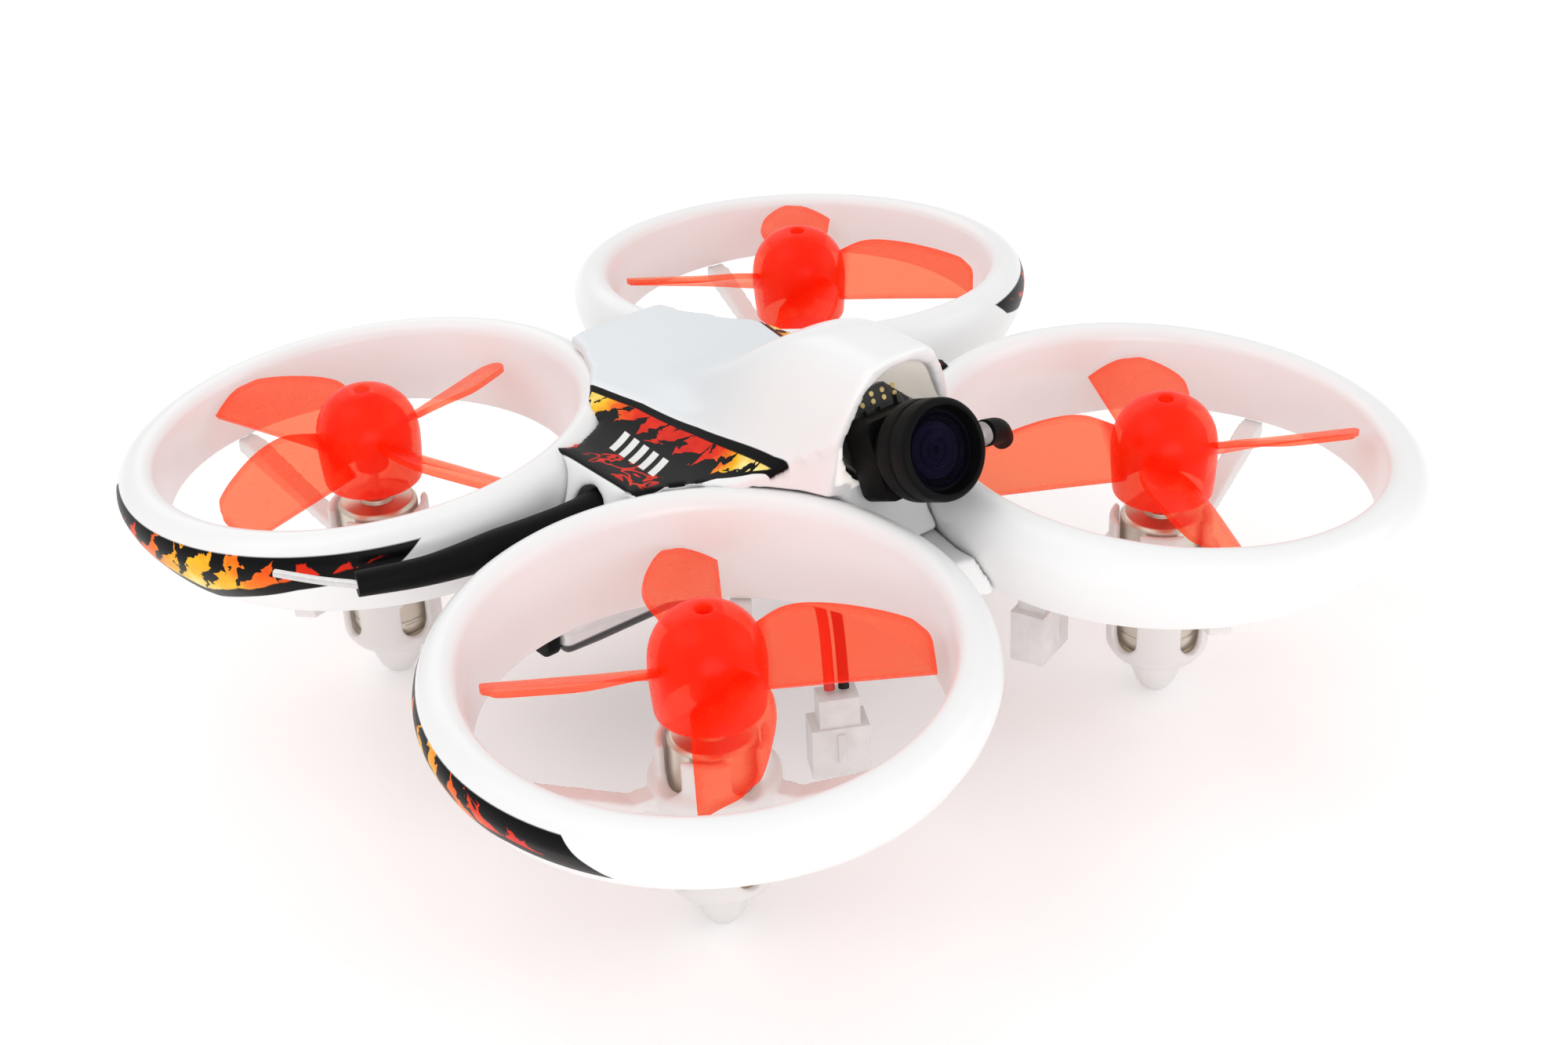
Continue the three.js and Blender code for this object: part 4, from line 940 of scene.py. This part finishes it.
def make_canopy(paint):
    """The shell's own mesh, divided finely, laid on the true surface and softened."""
    wall = 1.35
    bm = copy_of("canopy")
    divided(bm, 0.9)
    for vert in bm.verts:
        x, y, z = vert.co
        lean = shell_lean(x, y)
        off = (z - shell_height(x, y)) * lean.z
        facing = vert.normal.dot(lean)
        if facing > 0.7 and abs(off) < 0.6:
            vert.co -= lean * off
        elif facing < -0.6 and -wall < off < -0.1:
            vert.co -= lean * (wall + off)
    thickened(bm, 0.95)
    whole = moulded(bm, 0.3, 6)
    for _ in range(30):
        ends = [v for v in whole.verts if abs(v.co.x) > 18.4 and 28 < v.co.z]
        bmesh.ops.smooth_vert(whole, verts=ends, factor=0.5, use_axis_x=True, use_axis_y=True,
                              use_axis_z=True)
    # The inside attribute marks the inner faces under the hood for the shell paint's painted glow.
    inside = whole.verts.layers.float.new("inside")
    whole.normal_update()
    for vert in whole.verts:
        x, y, z = vert.co
        hollow = abs(x) < 7 and -21 < y < -4 and 33 < z < shell_height(x, y) - 0.6
        vert[inside] = float(hollow and vert.normal.dot(Vector((x, 0, z - 34))) < 0)
    finish_piece("shell_moulding", whole, paint, "frame", ["canopy"], crease=70,
                 normals=False)


def make_deck(paint):
    finish_piece("deck_moulding", moulded(copy_of("deck"), 0.33, 3), paint, "frame",
                 ["deck"], crease=70, normals=False)


# ---- Camera

CAMERA_TILT, CAMERA_BODY = radians(23), 4.6
CAMERA_PLACE = (Matrix.Translation((0, -28.6, PANEL + 4.8))
                @ Matrix.Rotation(pi / 2 - CAMERA_TILT, 4, "X"))


def camera_piece(name, bm, material, nodes=(), crease=35):
    return finish_piece(name, bm, material, "frame", nodes, turn=CAMERA_PLACE, crease=crease)


def moved_back(bm):
    """Brings a copied camera node back to the camera's own upright frame."""
    bmesh.ops.transform(bm, matrix=CAMERA_PLACE.inverted(), verts=bm.verts)
    return bm


def make_lens(black, glass, iris):
    """Ring, domed glass and stepped barrel, with the lens's face at height 0."""
    radius, length = LENS_RADIUS, LENS_LENGTH
    inner, dome, barrel = radius - 1.9, radius - 1.3, radius - 2.2
    ring = [(inner, -length), (radius - 0.3, -length), (radius, -length + 0.3), (radius, -2.6),
            (radius - 0.12, -2.5), (radius - 0.12, -2.2), (radius, -2.1), (radius, -0.35),
            (radius - 0.35, 0), (radius - 0.7, 0), (radius - 1.0, -1.5), (inner, -1.6)]
    camera_piece("lens_ring_turned", lathe(rounded(ring, 0.2), 96), black,
                 ["lens_ring"])
    cover = [(0, -1.15), (dome - 0.4, -1.15), (dome, -1.05), (0.85 * dome, -0.82),
             (0.6 * dome, -0.6), (0.3 * dome, -0.48), (0, -0.45)]
    camera_piece("lens_dome", lathe(rounded(cover, 0.3, closed=False), 96, False), glass,
                 ["lens_glass"], crease=60)
    steps = [(0, -9.2), (barrel - 0.3, -9.2), (barrel, -8.9), (barrel, -1.75), (2.2, -1.65),
             (2.15, -1.85), (1.75, -1.85), (1.7, -1.6), (1.3, -1.6), (1.25, -1.95),
             (0.75, -1.95), (0.72, -1.7), (0.45, -1.7), (0.4, -2.3), (0, -2.3)]
    camera_piece("lens_barrel_stepped",
                 lathe(rounded(steps, 0.06, closed=False, steps=2), 72, False), iris,
                 ["lens_barrel"])


def make_nose_camera(black, board, gold):
    camera_piece("camera_body_moulded", moved_back(eased("camera_body", 0.2)), black,
                 ["camera_body"])
    camera_piece("camera_board_cut", moved_back(eased("camera_board", 0.08, 1)), board,
                 ["camera_board"])
    back = -LENS_LENGTH - GAP - CAMERA_BODY - GAP
    pads = bmesh.new()
    for k in range(6):
        for row in range(2):
            spot = Matrix.Translation((-3.6 + 1.35 * k, 4.95 + 0.75 * row, back + 0.04))
            bmesh.ops.create_cone(pads, cap_ends=True, segments=14, radius1=0.3, radius2=0.26,
                                  depth=0.12, matrix=spot)
    camera_piece("camera_board_pads", pads, gold)
    chips = bmesh.new()
    for x, y, width, height in ((-2.6, 3.9, 1.5, 0.8), (-0.4, 3.95, 1.0, 0.9),
                                (1.6, 3.9, 1.6, 0.8), (3.4, 4.2, 0.8, 1.2)):
        box(chips, (width, height, 0.35), (x, y, back + 0.2))
    soften(chips, chips.edges, 0.05, 1)
    camera_piece("camera_board_chips", chips, board)


# ---- Battery, leads and aerials

def make_battery(wrap, black, milky):
    """A cell in shrunk film that pinches in at its ends, its taped end and its cradle."""
    low, high = [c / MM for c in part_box("battery")]
    size, middle = high - low, (low + high) / 2
    bm = bmesh.new()
    box(bm, size, middle)
    soften(bm, bm.edges, 0.9, 4)
    for _ in range(2):
        long = [e for e in bm.edges if e.calc_length() > 1.6]
        bmesh.ops.subdivide_edges(bm, edges=long, cuts=3, use_grid_fill=True)
    for vert in bm.verts:
        x, y, z = vert.co
        pinch = 0.054 * max(0, 1 - min(x - low.x, high.x - x) / 4)
        ripple = 0.06 * sin(x * 1.9 + y * 0.7) * sin(y * 1.3 + z)
        vert.co.z += (middle.z - z) * pinch + ripple * (1 - abs(y - middle.y) / size.y)
    finish_piece("battery_pack", bm, wrap, "frame", ["battery"], crease=60)
    finish_piece("battery_end_tape", eased("battery_end", 0.25), black, "frame",
                 ["battery_end"])
    finish_piece("battery_cradle_moulding", moulded(copy_of("battery_cradle"), 0.25, 3), milky,
                 "frame", ["battery_cradle"], crease=70, normals=False)


# Name, hole in the deck, the plug's place, its top, its turn, and the bend of its leads.
PLUGS = (
    ("power", (-4.8, -13.6), (-8.3, -21.4), 12.2, -0.5, (-6.0, -17.6, 19.2)),
    ("charge", (4.8, -14.2), (13.4, -27.4), 19.4, 0.35, (6.6, -18.0, 19.3)),
)


def make_plugs(shell, pin, red, black):
    """Two-pin plugs that hang on a red and a black lead each."""
    for name, hole, spot, top, turn, bend in PLUGS:
        finish_piece(f"{name}_plug_moulding", eased(f"{name}_plug", 0.18), shell, "frame",
                     [f"{name}_plug"])
        pins = bmesh.new()
        for side in (-1, 1):
            box(pins, (0.7, 0.5, 3.2), (side, 0, top - 4.6))
        soften(pins, pins.edges, 0.08, 1)
        finish_piece(f"{name}_plug_pins", pins, pin, "frame", at=(*spot, 0),
                     turn=Matrix.Rotation(turn, 4, "Z"))
        route = [(*hole, 24.3), (*hole, 21.6), bend,
                 (spot[0] * 0.93 + hole[0] * 0.07, spot[1] * 0.95 + hole[1] * 0.05, top + 2.2),
                 (*spot, top + 0.4)]
        for side, colour, paint in ((-1, "red", red), (1, "black", black)):
            shift = Vector((side * 0.72 * cos(turn), side * 0.72 * sin(turn), 0))
            tube(f"{name}_lead_{colour}_sleeve", [Vector(point) + shift for point in route],
                 [LEAD_RADIUS, LEAD_RADIUS], paint, "frame",
                 [f"{name}_lead_{colour}"], sides=20)


def make_aerials(black, wire, clear):
    """The long antenna beside the shell and the short aerial beside the lens."""
    level = DUCT_CREST - 1.8
    long_sleeve = [(-18.4, -0.4, level), (-24.0, -0.9, level - 0.1), (-32.0, 0.2, level - 0.3),
                   (-39.0, 1.2, level - 0.3), (-45.5, 3.5, level - 0.2)]
    tube("antenna_shrink_tube", long_sleeve, [2.0, 2.0, 1.85, 1.45, 1.25], black, "frame",
         ["antenna_sleeve"], caps=0.12)
    bare = [(-45.2, 3.1, level - 0.2), (-47.6, 6.2, level - 0.15), (-50.3, 10.5, level - 0.1)]
    tube("antenna_bare_wire", bare, [0.42, 0.4, 0.4], wire, "frame", ["antenna_tip"],
         caps=0.3)
    joint = [(4.6, -19.3, 36.2), (4.9, -21.4, 35.6), (6.3, -23.2, 35.2), (7.4, -23.5, 35.2),
             (9.6, -23.4, 35.2)]
    tube("aerial_clear_sleeve", joint, [0.5, 0.5, 0.9, 1.2, 1.2], clear, "frame",
         ["aerial_joint"])
    tube("aerial_core", joint[1:4] + [(9.9, -23.35, 35.15)], [0.3, 0.6, 0.75, 0.7], wire,
         "frame", caps=0.3)
    short_sleeve = [(9.5, -23.4, 35.2), (11.6, -23.0, 34.5), (13.0, -22.4, 32.9)]
    tube("aerial_black_sleeve", short_sleeve, [1.35, 1.3, 1.1], black, "frame",
         ["aerial_sleeve"], caps=0.3)


def repaint(nodes, material):
    """Gives CAD nodes that stay as they are a procedural material."""
    for node in nodes:
        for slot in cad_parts[node].material_slots:
            slot.material = material


def make_floor():
    bpy.ops.mesh.primitive_plane_add(size=6)
    floor = bpy.context.object
    floor.name = "floor"
    paint = Paint("pale_floor")
    vector = paint.place()[0]
    cloud = paint.noise(vector, 0.004, 2)
    paint.set(Base_Color=paint.blend(cloud, tint(0.93, 0.925, 0.925), tint(0.95, 0.945, 0.945)),
              Roughness=0.45 + 0.05 * paint.noise(vector, 0.2, 2), Emission_Color=tint(1, 1, 1),
              Emission_Strength=0.17)
    floor.data.materials.append(paint.material)


# ---- Assembly

make_camera()
make_studio()

white, milky = make_white_paint(), make_milky_paint()
duct_paint, shell_paint, red = make_duct_paint(), make_shell_paint(), make_red_paint()
black = make_black_paint("camera_black_plastic", 0.002, 0.42)
shrink = make_black_paint("black_shrink_tube", 0.003, 0.45, 0.6, 0.02)
steel = make_steel_paint("motor_can_steel", (0.78, 0.72, 0.62))
bright = make_steel_paint("bright_steel", (0.8, 0.79, 0.77), 0.2)
gold = make_steel_paint("gold_pads", (0.9, 0.68, 0.3), 0.25, (1, 1, 1))
wire = make_plain_paint("braided_wire", (0.62, 0.6, 0.6), (0.8, 0.78, 0.78), 0.3, 0.7, 0.2,
                        0.05, 2.0)
beige = make_plain_paint("motor_beige_plastic", (0.72, 0.62, 0.44), (0.82, 0.74, 0.58), 0.42)
wrap, board = make_wrap_paint(), make_board_paint()
plug_shell = make_clear_paint("plug_cloudy_nylon", (0.93, 0.92, 0.91), (0.98, 0.96, 0.95),
                              0.3, 0.3)
clear = make_clear_paint("clear_shrink_tube", (0.7, 0.66, 0.67), (0.96, 0.9, 0.91), 0.6, 0.1)
glass = make_clear_paint("lens_coated_glass", (0.002, 0.002, 0.012), (0.62, 0.58, 0.78), 0.85,
                         0.02, 0.12)
iris = make_black_paint("lens_inner_rings", 0.05, 0.25, 1.5, 0.001)
lead_red = make_plain_paint("lead_red_silicone", (0.55, 0.012, 0.008), (0.7, 0.03, 0.02), 0.42)
lead_black = make_black_paint("lead_black_silicone", 0.012, 0.45)

for name, sx, sy, spin, turn, spokes in CORNERS:
    make_duct(name, sx, sy, duct_paint)
    make_sleeve(name, sx, sy, spokes, milky)
    make_motor(name, sx, sy, steel, beige)
    make_propeller(name, sx, sy, spin, turn, red)
make_canopy(shell_paint)
make_deck(white)
make_lens(black, glass, iris)
make_nose_camera(black, board, gold)
make_battery(wrap, shrink, milky)
make_plugs(plug_shell, bright, lead_red, lead_black)
make_aerials(shrink, wire, clear)
repaint(["flight_controller", "bind_switch"], board)
repaint([f"board_screw_{side}" for side in ("front", "rear", "right", "left")], bright)
repaint(["usb_socket"], bright)
repaint(["bind_button"], black)

make_floor()
